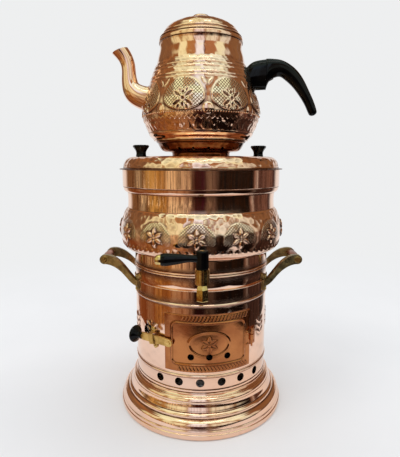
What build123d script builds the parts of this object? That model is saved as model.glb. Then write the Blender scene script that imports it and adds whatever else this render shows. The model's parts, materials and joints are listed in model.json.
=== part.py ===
from build123d import *
import math
import os

# Wood-fired copper samovar with its teapot, every piece a solid of its own, in millimetres. The origin is the
# middle of the foot at table level, +Z is up, and the tap and the fire door face -Y.

# ---------------------------------------------------------------- sheet and clearances
SHEET = 1.2              # copper of the shells
TUBE_WALL = 1.5          # copper of the fire tube
SEAM_GAP = 0.1           # solder between two round walls
LOOSE_GAP = 0.5          # a lid's or door's play
SHAFT_GAP = 0.05         # radial play of a pin in its hole

# ---------------------------------------------------------------- heights, floor upwards
FOOT_HEIGHT = 8.2
SKIRT_HEIGHT = 41.8
VENT_BAND_HEIGHT = 29.0
DOOR_ABOVE_SEAM = 3.2
DOOR_HEIGHT = 78.4
CASING_ABOVE_DOOR = 31.0
VESSEL_HEIGHT = 38.2
BELLY_HEIGHT = 61.0
NECK_HEIGHT = 20.5
RIM_HEIGHT = 31.5
LID_HEIGHT = 17.6
CROWN_HEIGHT = 21.0

SKIRT_Z = FOOT_HEIGHT
VENT_Z = SKIRT_Z + SKIRT_HEIGHT
CASING_Z = VENT_Z + VENT_BAND_HEIGHT
DOOR_Z = CASING_Z + DOOR_ABOVE_SEAM
FLOOR_Z = DOOR_Z + DOOR_HEIGHT + CASING_ABOVE_DOOR
VESSEL_Z = FLOOR_Z + SHEET
BELLY_Z = VESSEL_Z + VESSEL_HEIGHT
NECK_Z = BELLY_Z + BELLY_HEIGHT
RIM_Z = NECK_Z + NECK_HEIGHT
LID_Z = RIM_Z + RIM_HEIGHT
LID_TOP_Z = LID_Z + LID_HEIGHT
POT_Z = LID_TOP_Z + CROWN_HEIGHT

# ---------------------------------------------------------------- radii
WALL_RADIUS = 96.2       # vent band, casing and vessel wall
FOOT_FLARE = 24.6        # the others' steps beyond that wall
BELLY_SWELL = 19.4
NECK_STEP = 8.2
RIM_STEP = 15.2
BRIM_STEP = 3.8          # the lid's thin brim beyond the rim
FOOT_WIDTH = 5.5
TUBE_RADIUS = 38.0

WALL_INSIDE = WALL_RADIUS - SHEET
FOOT_RADIUS = WALL_RADIUS + FOOT_FLARE
BELLY_RADIUS = WALL_RADIUS + BELLY_SWELL
NECK_RADIUS = WALL_RADIUS + NECK_STEP
NECK_END_RADIUS = NECK_RADIUS + 0.6
RIM_RADIUS = WALL_RADIUS + RIM_STEP
BRIM_RADIUS = RIM_RADIUS + BRIM_STEP

# ---------------------------------------------------------------- beads, vents and fire
BEAD_WIDTH = 3.2
BEAD_SWELL = 1.3
BEAD_ABOVE_DOOR = 11.9
VESSEL_BEADS = (17.4, 20.4)
FLANGE_PROUD = 1.6       # the vessel floor's folded edge

VENT_RADIUS = 5.7
VENT_PITCH = 17.2        # degrees
VENT_COUNT = 6           # in each group
VENT_HEIGHT = 16.6       # above the vent band's lower edge
VENT_ANGLE = 8.0         # middle of the front group, degrees to the right

GRATE_THICKNESS = 6.0
GRATE_SLOT = 7.0
GRATE_BAR = 5.5
GRATE_PLAY = 1.5
LEDGE_DROP = 5.5         # the grate ledge below the casing's seam
LEDGE_WIDTH = 10.0
FUNNEL_RISE = 32.0       # the vessel floor's cone
COLLAR_RISE = 9.0

# ---------------------------------------------------------------- fire door, hinge and bolt
DOOR_ANGLE = 6.4         # the door's middle, degrees to the right of the front
DOOR_HALF_ANGLE = 35.8
DOOR_SHEET = 1.6
PANEL_HALF_ANGLE = 29.3
PANEL_MARGIN = 11.2      # the panel's bead from the door's upper and lower edges
PANEL_BEAD = 2.0
PANEL_BEAD_RISE = 0.9
OPENING_HALF_ANGLE = 27.0
OPENING_INSIDE = 1.0     # the casing's opening inside the panel's bead
OPENING_CORNER = 6.0
DOOR_HOLE_RADIUS = 4.4
DOOR_HOLE_PITCH = 14.2   # degrees
DOOR_HOLE_HEIGHT = 21.5  # above the door's lower edge

HINGE_STANDOFF = 4.4     # the pin's axis from the wall
HINGE_HEIGHT = 24.0
KNUCKLE_RADIUS = 2.7
PIN_RADIUS = 1.3
LEAF_SHEET = 1.1
LEAF_HALF_ANGLE = 3.0
RIVET_RADIUS = 1.3
RIVET_HEAD = 1.0
RIVET_HEAD_RADIUS = 2.3

BOLT_BEYOND_DOOR = 2.6   # degrees from the door's edge to where the bolt lies square to the radius
BOLT_HEIGHT = 10.5
BOLT_THICKNESS = 2.4
BOLT_RIGHT = 18.6        # its ends, from that point
BOLT_LEFT = 31.0
STRAP_OFFSET = 14.0
STRAP_WIDTH = 8.0
STRAP_LENGTH = 31.0
STRAP_SHEET = 1.6
STRAP_TILT = 12.0
BOLT_KNOB_RADIUS = 11.5
BOLT_KNOB_LENGTH = 17.0
BOLT_TANG = 8.0
BOLT_TANG_RADIUS = 3.0

# ---------------------------------------------------------------- tap
TAP_SIDE = 1.4           # the tap's middle to the right of the samovar's
TAP_ABOVE_FLOOR = 30.0   # the shank's axis above the vessel's lower edge
TAP_REACH = 40.0         # the plug's axis in front of the wall
SHANK_RADIUS = 5.8
TAP_FLANGE_RADIUS = 8.0
BARREL_RADIUS = 8.6
BARREL_HEIGHT = 16.0
BARREL_ABOVE = 0.45      # share of the barrel above the shank's axis
SPOUT_RADIUS = 7.6
SPOUT_LENGTH = 20.0
SPOUT_BORE = 4.8
PLUG_TOP_RADIUS = 6.0
PLUG_TAPER = 1.2
COLLAR_HEIGHT = 2.0
HUB_RADIUS = 7.5
HUB_HEIGHT = 22.5
LEVER_LENGTH = 48.0      # from the plug's axis to the black end
LEVER_WIDE = 15.0
LEVER_NARROW = 8.6
LEVER_END_RISE = 10.9    # the lever end's centre above the hub's foot
CAP_LENGTH = 7.5
STEM_SIDE = 6.0

TAP_Z = VESSEL_Z + TAP_ABOVE_FLOOR

# ---------------------------------------------------------------- side handles
GRIP_REACH = 41.3        # the grip's axis from the wall
GRIP_ABOVE_FLOOR = 24.2
ARM_Y = 24.0             # the arms' eyes in front of and behind the middle
FOOT_Y = 38.0            # the arms' feet
ARM_THICKNESS = 7.0
EYE_RADIUS = 6.6
EYE_LENGTH = 8.0
GRIP_RADIUS = 6.2
ROD_RADIUS = 2.4
ROD_HEAD_RADIUS = 4.2
ROD_HEAD = 1.5
PAD_WIDTH = 12.0
PAD_HEIGHT = 25.0
PAD_SHEET = 2.6
PAD_BELOW_FLOOR = 4.0    # the pad's middle below the vessel floor's flange
PAD_RIVETS = (-9.2, 8.6)
ARM_FALL = 30.0          # from the eye to the foot

GRIP_X = WALL_RADIUS + GRIP_REACH
GRIP_Z = VESSEL_Z + GRIP_ABOVE_FLOOR
PAD_Z = FLOOR_Z - PAD_BELOW_FLOOR

# ---------------------------------------------------------------- lid knobs and crown
LID_SHOULDER = 14.0      # width of the lid's rounded edge
KNOB_TOP_RADIUS = 11.0
KNOB_FOOT_RADIUS = 7.2
KNOB_HEIGHT = 16.0
KNOB_INSET = 2.5         # a knob's foot from the lid's rounded edge
KNOB_ANGLES = {"left": -80.5, "right": 98.4}
SCREW_RADIUS = 2.0
CROWN_RADIUS = 63.0
CROWN_SEAT = 4.8         # width of the crown's seat for the teapot
CROWN_PLAY = 1.6         # its neck round the fire tube
TUBE_ABOVE = 5.5         # end of the fire tube above the lid
CROWN_VENTS = 18
CROWN_VENT_RADIUS = 2.0

# ---------------------------------------------------------------- teapot
POT_BASE_RADIUS = 66.4
POT_RADIUS = 83.0
POT_MOUTH_RADIUS = 56.0
POT_HEIGHT = 128.0       # from its base to the mouth
POT_BASE_SHEET = 1.4
SPIGOT_DEPTH = 3.4
POT_LID_OVERHANG = 1.2
POT_LID_HEIGHT = 31.0
POT_KNOB_RADIUS = 11.8
POT_KNOB_HEIGHT = 7.0
STRAINER_HOLE = 2.0
HORN_SIDE = 9.5          # half the horn's thickness at its root
HORN_ROOT = 7.0          # the horn's root beyond the pot's widest radius
HORN_SCREW_HEIGHTS = (74.0, 86.0)
HORN_SCREW_REACH = 27.0

MOUTH_Z = POT_Z + POT_BASE_SHEET + POT_HEIGHT
POT_LID_TOP_Z = MOUTH_Z + POT_LID_HEIGHT


# ---------------------------------------------------------------- helpers
def on_ring(radius, angle, height=0.0):
    """Point on a circle about the axis. The angle runs from the front towards +X."""
    turn = math.radians(angle)
    return Vector(radius * math.sin(turn), -radius * math.cos(turn), height)


def facing(angle, height=0.0, radius=0.0):
    """Plane square to the radius at an angle: X to the right, Y up, its normal outwards."""
    turn = math.radians(angle)
    return Plane(
        origin=on_ring(radius, angle, height),
        x_dir=(math.cos(turn), math.sin(turn), 0),
        z_dir=on_ring(1, angle),
    )


def outline(start, *steps):
    """A wire through points: a third number bows the run to a point, and a list is a smooth curve."""
    edges, here = [], start
    for step in steps:
        if isinstance(step, list):
            edges.append(Spline(here, *step).edge())
            here = step[-1]
        elif len(step) == 3:
            edges.append(SagittaArc(here, step[:2], step[2]).edge())
            here = step[:2]
        else:
            edges.append(Line(here, step).edge())
            here = step
    return Wire(edges)


def flat_points(start, steps):
    """All the points of an outline, in order."""
    points = [start]
    for step in steps:
        points += step if isinstance(step, list) else [step[:2]]
    return points


def moved_points(points, distance):
    """The points moved to the left of their run. The ends move along one axis only, so that they stay flat."""
    moved = []
    for n, here in enumerate(points):
        pairs = [pair for pair in (points[n - 1 : n + 1], points[n : n + 2]) if len(pair) == 2]
        headings = [Vector(b[0] - a[0], b[1] - a[1]).normalized() for a, b in pairs]
        along = sum(headings, Vector(0, 0)).normalized()
        shift = distance / along.dot(headings[0])
        if len(pairs) == 2:
            moved.append((here[0] - along.Y * shift, here[1] + along.X * shift))
        elif abs(along.Y) > abs(along.X):
            moved.append((here[0] - distance / along.Y, here[1]))
        else:
            moved.append((here[0], here[1] + distance / along.X))
    return moved


def with_points(steps, points):
    """The same kinds of step through other points."""
    made, n = [], 1
    for step in steps:
        if isinstance(step, list):
            made.append(points[n : n + len(step)])
            n += len(step)
        else:
            made.append((*points[n], *step[2:]))
            n += 1
    return made


def spun_sheet(start, *steps, thickness=SHEET):
    """Sheet metal spun about the axis. The run is one face, and a positive thickness lies to its left."""
    points = moved_points(flat_points(start, steps), thickness)
    one_face = outline(start, *steps)
    other_face = outline(points[0], *with_points(steps, points))
    ends = [Line(one_face @ n, other_face @ n).edge() for n in (0, 1)]
    section = make_face(one_face.edges() + other_face.edges() + ends)
    return revolve(Plane.XZ * section, Axis.Z)


def spun_solid(start, *steps):
    """Solid of revolution of a closed outline."""
    section = make_face(outline(start, *steps, start).edges())
    return revolve(Plane.XZ * section, Axis.Z)


def ring(outer, inner, low, high):
    """Plain ring about the axis."""
    return spun_solid((inner, low), (outer, low), (outer, high), (inner, high))


def bead(radius, height, width=BEAD_WIDTH, swell=BEAD_SWELL):
    """Half-round bead on a round wall."""
    low, high = height - width / 2, height + width / 2
    root = radius - SHEET / 2
    return spun_solid((root, low), (radius, low), (radius, high, -swell), (root, high))


def rod(plane, radius, start, end):
    """Round bar along a plane's normal."""
    return extrude(plane.offset(start) * Circle(radius), end - start)


def wall_patch(inner, outer, plane, sketch, reach=40.0):
    """The part of a round wall that a sketch, drawn on a plane outside, covers."""
    low = plane.origin.Z - 200
    shell = ring(outer, inner, low, low + 400)
    return shell & extrude(plane.offset(-reach) * sketch, 2 * reach)


def single(shape):
    """The one solid of a cut or a joined shape."""
    solids = shape.solids()
    return max(solids, key=lambda s: s.volume)


def chord(radius, half_angle):
    """Width of a wall patch seen square on."""
    return 2 * radius * math.sin(math.radians(half_angle))


# ---------------------------------------------------------------- base
def foot_ring():
    low_round = 2.4
    top_round = 1.2
    return spun_solid(
        (FOOT_RADIUS - FOOT_WIDTH, 0),
        (FOOT_RADIUS - low_round, 0),
        (FOOT_RADIUS, low_round, -0.7),
        (FOOT_RADIUS, FOOT_HEIGHT - top_round),
        (FOOT_RADIUS - top_round, FOOT_HEIGHT, -0.35),
        (FOOT_RADIUS - FOOT_WIDTH, FOOT_HEIGHT),
    )


def ash_plate():
    radius = FOOT_RADIUS - FOOT_WIDTH / 2 + 0.2
    return rod(Plane.XY, radius, SKIRT_Z, SKIRT_Z + SHEET)


def base_skirt():
    z = SKIRT_Z
    run = FOOT_RADIUS - 1.2 - WALL_RADIUS
    top = WALL_RADIUS + 0.6

    def at(share, height):
        return (WALL_RADIUS + share * run, z + height * SKIRT_HEIGHT)

    return spun_sheet(
        at(1.0, 0),
        at(1.0, 0.02),
        at(0.955, 0.11),
        [at(0.92, 0.18), at(0.83, 0.29), at(0.62, 0.375)],
        (*at(0.45, 0.525), -1.5),
        at(0.39, 0.54),
        at(0.38, 0.635),
        (*at(0.27, 0.79), 0.9),
        at(0.18, 0.925),
        (top, z + 0.985 * SKIRT_HEIGHT, 0.3),
        (top, z + SKIRT_HEIGHT),
    )


def vent_band():
    wall = ring(WALL_RADIUS, WALL_INSIDE, VENT_Z, CASING_Z)
    wall += bead(WALL_RADIUS, VENT_Z + 2.6, 2.2, 0.8)
    wall += bead(WALL_RADIUS, VENT_Z + 7.0, 2.2, 0.8)
    wall += bead(WALL_RADIUS, CASING_Z - 3.4, 2.8, 1.0)
    height = VENT_Z + VENT_HEIGHT
    for side in (0, 180):
        for n in range(VENT_COUNT):
            angle = VENT_ANGLE + side + (n - (VENT_COUNT - 1) / 2) * VENT_PITCH
            wall -= rod(facing(angle, height), VENT_RADIUS, WALL_RADIUS - 10, WALL_RADIUS + 10)
    return wall


def grate_ledge():
    outer = WALL_INSIDE - SEAM_GAP
    low = CASING_Z - LEDGE_DROP
    return spun_solid(
        (outer - LEDGE_WIDTH, low),
        (outer, low),
        (outer, CASING_Z),
        (outer - SHEET, CASING_Z),
        (outer - SHEET, low + SHEET),
        (outer - LEDGE_WIDTH, low + SHEET),
    )


def grate():
    low = CASING_Z - LEDGE_DROP + SHEET
    radius = WALL_INSIDE - SEAM_GAP - SHEET - GRATE_PLAY
    field = radius - LEDGE_WIDTH
    disc = rod(Plane.XY, radius, low, low + GRATE_THICKNESS)
    pitch = GRATE_SLOT + GRATE_BAR
    rows = int(2 * (field - GRATE_SLOT) / pitch)
    for n in range(rows + 1):
        x = (n - rows / 2) * pitch
        half = math.sqrt(field**2 - x**2) - GRATE_SLOT / 2
        for side in (-1, 1):
            length = half - GRATE_BAR / 2
            slot = Pos(x, side * (half + GRATE_BAR / 2) / 2) * Rectangle(GRATE_SLOT, length)
            disc -= extrude(Plane.XY.offset(low) * slot, GRATE_THICKNESS)
    return disc


# ---------------------------------------------------------------- firebox and vessel
def firebox_casing():
    wall = ring(WALL_RADIUS, WALL_INSIDE, CASING_Z, FLOOR_Z)
    wall += bead(WALL_RADIUS, DOOR_Z + DOOR_HEIGHT + BEAD_ABOVE_DOOR)
    width = chord(WALL_RADIUS, OPENING_HALF_ANGLE)
    window = RectangleRounded(width, panel_height() - 2 * OPENING_INSIDE, OPENING_CORNER)
    wall -= extrude(facing(DOOR_ANGLE, door_middle(), WALL_RADIUS / 2) * window, WALL_RADIUS)
    for place in hinge_rivet_places() + strap_rivet_places():
        wall -= rod(place, RIVET_RADIUS + SHAFT_GAP, -10, 10)
    for place in pad_rivet_places():
        wall -= rod(place, RIVET_RADIUS + SHAFT_GAP, -10, 10)
    return wall


def vessel_floor():
    """Funnel between the fire and the water. Its folded edge shows outside as a bead."""
    tube = TUBE_RADIUS + SEAM_GAP
    return spun_sheet(
        (WALL_RADIUS + FLANGE_PROUD, FLOOR_Z),
        (WALL_INSIDE - 6, FLOOR_Z),
        (tube, FLOOR_Z + FUNNEL_RISE),
        (tube, FLOOR_Z + FUNNEL_RISE + COLLAR_RISE),
        thickness=-SHEET,
    )


def vessel_wall():
    wall = ring(WALL_RADIUS, WALL_INSIDE, VESSEL_Z, BELLY_Z)
    for height in VESSEL_BEADS:
        wall += bead(WALL_RADIUS, VESSEL_Z + height, 2.4, 1.1)
    wall -= rod(tap_plane(), SHANK_RADIUS + SEAM_GAP, -20, 20)
    for place in pad_rivet_places():
        wall -= rod(place, RIVET_RADIUS + SHAFT_GAP, -10, 10)
    return wall


def belly_band():
    swell = BELLY_RADIUS - WALL_RADIUS

    def at(share, height):
        return (WALL_RADIUS + share * swell, BELLY_Z + height * BELLY_HEIGHT)

    return spun_sheet(
        at(0, 0),
        at(0, 0.008),
        [at(0.39, 0.035), at(0.70, 0.105), at(0.89, 0.205), at(1.0, 0.51), at(0.95, 0.64), at(0.84, 0.765),
         at(0.64, 0.92), (NECK_END_RADIUS, NECK_Z)],
    )


def neck_band():
    return spun_sheet(
        (NECK_END_RADIUS, NECK_Z),
        [(NECK_RADIUS, NECK_Z + 0.3 * NECK_HEIGHT), (NECK_END_RADIUS, RIM_Z)],
    )


def rim_band():
    wall = spun_sheet(
        (NECK_END_RADIUS, RIM_Z),
        (NECK_END_RADIUS, RIM_Z + 0.4),
        (RIM_RADIUS - 3.4, RIM_Z + 1.6),
        (RIM_RADIUS - 1.0, RIM_Z + 6.4, -1.2),
        (RIM_RADIUS, RIM_Z + 8.0),
        (RIM_RADIUS, LID_Z),
    )
    return wall + ring(RIM_RADIUS - SHEET / 2, RIM_RADIUS - 2 * SHEET, LID_Z - 3.0, LID_Z)


def fire_tube():
    low = FLOOR_Z + FUNNEL_RISE + SHEET
    return ring(TUBE_RADIUS, TUBE_RADIUS - TUBE_WALL, low, LID_TOP_Z + TUBE_ABOVE)


# ---------------------------------------------------------------- lid and crown
def lid_shoulder_radius():
    return RIM_RADIUS - 3.0


def lid():
    """Domed plate with a thin brim and a hole for the fire tube."""
    top = LID_TOP_Z - SHEET
    shoulder = lid_shoulder_radius()
    plate = spun_sheet(
        (BRIM_RADIUS, LID_Z),
        (shoulder + 1.0, LID_Z),
        (shoulder, LID_Z + 0.36 * LID_HEIGHT),
        [(shoulder - 0.9, LID_Z + 0.55 * LID_HEIGHT), (shoulder - 4.2, LID_Z + 0.76 * LID_HEIGHT),
         (shoulder - 9.0, top - 0.5)],
        (shoulder - LID_SHOULDER, top),
        (TUBE_RADIUS + LOOSE_GAP, top),
        thickness=-SHEET,
    )
    for angle in KNOB_ANGLES.values():
        plate -= rod(knob_plane(angle), SCREW_RADIUS + SHAFT_GAP, -5, 5)
    return plate


def lid_skirt():
    """Ring soldered under the lid, which keeps it centred in the rim."""
    outer = RIM_RADIUS - 2 * SHEET - LOOSE_GAP
    inner = outer - SHEET
    seat = lid_shoulder_radius() + 0.8 - SEAM_GAP
    return spun_solid(
        (inner, LID_Z - 9),
        (outer, LID_Z - 9),
        (outer, LID_Z),
        (seat, LID_Z),
        (seat, LID_Z + SHEET),
        (inner, LID_Z + SHEET),
    )


def knob_plane(angle):
    """Level plane under a lid knob."""
    radius = lid_shoulder_radius() - LID_SHOULDER - KNOB_FOOT_RADIUS - KNOB_INSET
    return Plane(origin=on_ring(radius, angle, LID_TOP_Z))


def lid_knob(angle):
    """Flared black knob with a dished top."""
    foot, top, high = KNOB_FOOT_RADIUS, KNOB_TOP_RADIUS, KNOB_HEIGHT
    bore = SCREW_RADIUS + SHAFT_GAP
    dish = SCREW_RADIUS + 2.4
    body = spun_solid(
        (bore, 0),
        (foot, 0),
        [(foot - 0.3, 0.25 * high), (top, high - 3.2)],
        (top - 1.0, high - 0.4, -0.9),
        (dish, high - 2.0, 0.6),
        (dish, high - 4.4),
        (bore, high - 4.4),
    )
    return knob_plane(angle).location * body


def lid_knob_screws():
    """A screw through each knob and the lid, with its nut underneath."""
    head = KNOB_HEIGHT - 4.4
    pieces = []
    for angle in KNOB_ANGLES.values():
        plane = knob_plane(angle)
        screw = rod(plane, SCREW_RADIUS, -SHEET - 4.0, head + 1.0)
        screw += rod(plane, SCREW_RADIUS + 2.0, head, head + 2.0)
        nut = extrude(plane.offset(-SHEET - 3.2) * RegularPolygon(SCREW_RADIUS + 2.2, 6), 3.2)
        pieces.append(screw + nut)
    return pieces


def crown_neck_radius():
    return TUBE_RADIUS + CROWN_PLAY + SHEET


def crown_neck_height():
    return 0.30 * CROWN_HEIGHT


def crown_neck():
    """Plain ring soldered under the crown, which sits loosely round the fire tube."""
    neck = crown_neck_radius()
    return ring(neck, neck - SHEET, LID_TOP_Z, LID_TOP_Z + crown_neck_height() - SEAM_GAP)


def crown():
    """Stepped ring on its neck, which carries the teapot and lets the smoke out."""
    neck = crown_neck_radius()

    def at(radius, height):
        return (radius, LID_TOP_Z + height * CROWN_HEIGHT)

    middle = neck + 0.6 * (CROWN_RADIUS - neck)
    body = spun_sheet(
        (neck - SHEET, LID_TOP_Z + crown_neck_height()),
        at(middle, 0.32),
        (*at(CROWN_RADIUS - 6.0, 0.58), -1.2),
        at(CROWN_RADIUS - 4.0, 0.60),
        (*at(CROWN_RADIUS - 2.6, 0.80), -0.6),
        at(CROWN_RADIUS, 0.90),
        at(CROWN_RADIUS, 1.0),
    )
    body += ring(CROWN_RADIUS - SHEET / 2, CROWN_RADIUS - CROWN_SEAT, POT_Z - SHEET, POT_Z)
    height = LID_TOP_Z + 0.47 * CROWN_HEIGHT
    for n in range(CROWN_VENTS):
        angle = (n + 0.5) * 360 / CROWN_VENTS
        body -= rod(facing(angle, height), CROWN_VENT_RADIUS, CROWN_RADIUS - 15, CROWN_RADIUS + 5)
    return body


# ---------------------------------------------------------------- teapot
def pot_outline(grow=0.0):
    """The teapot's wall from its base to the mouth, moved out by a gap where a piece is cut to fit it."""
    low = POT_Z + POT_BASE_SHEET

    def at(radius, height):
        return (radius + grow, low + height * POT_HEIGHT)

    belly = POT_RADIUS
    mouth = POT_MOUTH_RADIUS
    return [
        at(POT_BASE_RADIUS, 0),
        [at(POT_BASE_RADIUS + 0.37 * (belly - POT_BASE_RADIUS), 0.035), at(belly - 8.6, 0.085),
         at(belly - 7.6, 0.125)],
        [at(belly - 3.6, 0.20), at(belly - 0.5, 0.28), at(belly, 0.345), at(belly - 2.8, 0.49),
         at(belly - 9.4, 0.60), at(mouth + 10.4, 0.69)],
        [at(mouth + 5.2, 0.78), at(mouth + 1.6, 0.885), at(mouth, 0.95), at(mouth + 0.2, 1.0)],
    ]


def pot_solid(grow):
    """The teapot's outer form, filled."""
    steps = pot_outline(grow)
    top = steps[-1][-1]
    return spun_solid(steps[0], *steps[1:], (0, top[1]), (0, steps[0][1]))


def pot_base():
    disc = rod(Plane.XY, POT_BASE_RADIUS, POT_Z, POT_Z + POT_BASE_SHEET)
    spigot = CROWN_RADIUS - CROWN_SEAT - LOOSE_GAP
    return disc + ring(spigot, spigot - SHEET, POT_Z - SPIGOT_DEPTH, POT_Z + 0.4)


def teapot_body():
    wall = spun_sheet(*pot_outline())
    plane = Plane(origin=(-POT_RADIUS, 0, spout_root_z()), x_dir=(0, -1, 0), z_dir=(-1, 0, 0))
    spots = [(0, 0)] + [(7.5 * math.cos(a * math.pi / 3), 7.5 * math.sin(a * math.pi / 3)) for a in range(6)]
    for x, y in spots:
        wall -= extrude(plane.offset(-20) * Pos(x, y) * Circle(STRAINER_HOLE), 40)
    for plane in horn_screw_planes():
        wall -= rod(plane, SCREW_RADIUS + SHAFT_GAP, -20, 20)
    return wall


def spout_root_z():
    return POT_Z + 58.0


def spout_sections(inset):
    """Circles along the spout, from its reach past the pot's widest radius, height above the seat, lean, radius."""
    stations = (
        (-15.0, 57.4, 78, 18.0),
        (1.0, 61.8, 60, 16.0),
        (11.5, 69.0, 40, 14.0),
        (15.8, 79.6, 12, 11.4),
        (16.8, 92.4, 3, 9.8),
        (18.0, 105.0, 12, 9.7),
        (22.0, 114.6, 24, 10.3),
        (28.0, 122.4, 20, 11.5),
    )
    sections = []
    for reach, height, lean, radius in stations:
        turn = math.radians(lean)
        plane = Plane(
            origin=(-POT_RADIUS - reach, 0, POT_Z + height),
            x_dir=(math.cos(turn), 0, math.sin(turn)),
            z_dir=(-math.sin(turn), 0, math.cos(turn)),
        )
        sections.append(plane * Circle(radius - inset))
    return sections


def teapot_spout():
    """Swan-neck spout, hollow from the pot's wall to its lip."""
    outside = loft(spout_sections(0)) - pot_solid(SEAM_GAP)
    return single(outside - loft(spout_sections(SHEET)))


def pot_wall(height):
    """Point (radius, height) of the teapot's wall at a height above its seat."""
    wire = outline(*pot_outline())
    low, high = 0.0, 1.0
    for _ in range(30):
        middle = (low + high) / 2
        if (wire @ middle).Y < POT_Z + height:
            low = middle
        else:
            high = middle
    return wire @ low


def wall_plane(height):
    """Plane on the teapot's wall on the handle's side, its normal square to the wall."""
    here, above = pot_wall(height), pot_wall(height + 2)
    along = Vector(above.X - here.X, 0, above.Y - here.Y)
    return Plane(origin=(here.X, 0, here.Y), x_dir=(0, 1, 0), z_dir=Vector(0, 1, 0).cross(along))


def horn_section(reach, height, slope, half, side):
    """Oval across the horn at a reach from the axis and a height above the teapot's seat."""
    turn = math.radians(slope)
    plane = Plane(
        origin=(reach, 0, POT_Z + height),
        x_dir=(0, 1, 0),
        z_dir=(math.cos(turn), 0, math.sin(turn)),
    )
    return plane * Ellipse(HORN_SIDE * side, half)


def teapot_handle_root():
    """Black block, saddled to the pot's wall, that the horn sits on."""
    root = POT_RADIUS + HORN_ROOT
    sections = [
        horn_section(POT_MOUTH_RADIUS + 2, 84.4, 0, 14.0, 0.8),
        horn_section(POT_RADIUS - 13, 88.5, 0, 18.1, 0.96),
        horn_section(POT_RADIUS - 3, 90.2, 0, 20.0, 1.0),
        horn_section(root, 91.1, 0, 20.3, 1.0),
    ]
    body = loft(sections) - pot_solid(SEAM_GAP)
    return single(bored_for_screws(body))


def bored_for_screws(body):
    for plane in horn_screw_planes():
        body -= rod(plane, SCREW_RADIUS + SHAFT_GAP, -20, HORN_SCREW_REACH + 0.5)
    return body


def teapot_handle():
    """Curved black horn, flared where it meets its root block."""
    stations = (
        (HORN_ROOT, 91.2, 0, 20.9, 1.03),
        (9.4, 95.0, 0, 17.3, 1.02),
        (12.4, 97.3, -1, 15.0, 1.0),
        (18.0, 99.0, -3, 12.9, 0.98),
        (25.5, 99.5, -8, 11.3, 0.96),
        (38.5, 93.4, -35, 10.2, 0.9),
        (50.2, 82.2, -50, 9.2, 0.85),
        (61.2, 66.2, -58, 7.4, 0.78),
        (69.5, 51.4, -63, 6.5, 0.7),
        (75.2, 38.0, -68, 5.7, 0.64),
        (76.9, 33.4, -70, 3.6, 0.45),
    )
    body = loft([horn_section(POT_RADIUS + reach, *rest) for reach, *rest in stations])
    return single(bored_for_screws(body))


def horn_screw_planes():
    return [wall_plane(height) for height in HORN_SCREW_HEIGHTS]


def teapot_handle_screws():
    """Two screws from inside the pot, through the root block and into the horn."""
    back = -SHEET - 0.2
    pieces = []
    for plane in horn_screw_planes():
        head = rod(plane, SCREW_RADIUS + 1.8, back - 1.8, back)
        pieces.append(head + rod(plane, SCREW_RADIUS, back - 0.5, HORN_SCREW_REACH))
    return pieces


def teapot_lid():
    """Stepped dome with a skirt that fits inside the pot's mouth."""
    edge = POT_MOUTH_RADIUS + POT_LID_OVERHANG
    bore = SCREW_RADIUS + SHAFT_GAP

    def at(inwards, height):
        return (edge - inwards, MOUTH_Z + height * POT_LID_HEIGHT)

    dome = spun_sheet(
        at(0.0, 0.0),
        at(0.0, 0.02),
        (*at(1.0, 0.22), -0.6),
        at(4.4, 0.30),
        (*at(7.2, 0.46), -0.8),
        [at(12.4, 0.64), at(20.0, 0.82), at(33.0, 0.955), (bore, POT_LID_TOP_Z)],
    )
    skirt = POT_MOUTH_RADIUS + 0.2 - SHEET - LOOSE_GAP
    seat = ring(edge - SHEET / 2, skirt - SHEET, MOUTH_Z, MOUTH_Z + SHEET)
    return dome + seat + ring(skirt, skirt - SHEET, MOUTH_Z - 7, MOUTH_Z + 0.6)


def teapot_lid_knob():
    z = POT_LID_TOP_Z
    r = POT_KNOB_RADIUS
    h = POT_KNOB_HEIGHT
    return spun_solid(
        (SCREW_RADIUS + SHAFT_GAP, z),
        (0.78 * r, z),
        (0.78 * r, z + 0.14 * h),
        (r, z + 0.42 * h, 0.5),
        (r, z + 0.8 * h, -0.5),
        (0.8 * r, z + h, -0.5),
        (SCREW_RADIUS + SHAFT_GAP, z + h),
    )


def teapot_lid_rivet():
    low = POT_LID_TOP_Z - SHEET
    high = POT_LID_TOP_Z + POT_KNOB_HEIGHT
    body = rod(Plane.XY, SCREW_RADIUS, low - 1.5, high + 0.4)
    body += rod(Plane.XY, SCREW_RADIUS + 2.0, low - 2.2, low - 0.6)
    dome = spun_solid((0, high), (SCREW_RADIUS + 1.6, high), (SCREW_RADIUS - 0.4, high + 1.1, -0.2), (0, high + 1.3))
    return body + dome


# ---------------------------------------------------------------- fire door and hinge
def door_middle():
    return DOOR_Z + DOOR_HEIGHT / 2


def panel_height():
    return DOOR_HEIGHT - 2 * PANEL_MARGIN


def hinge_angle():
    return DOOR_ANGLE + DOOR_HALF_ANGLE + 0.6


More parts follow.
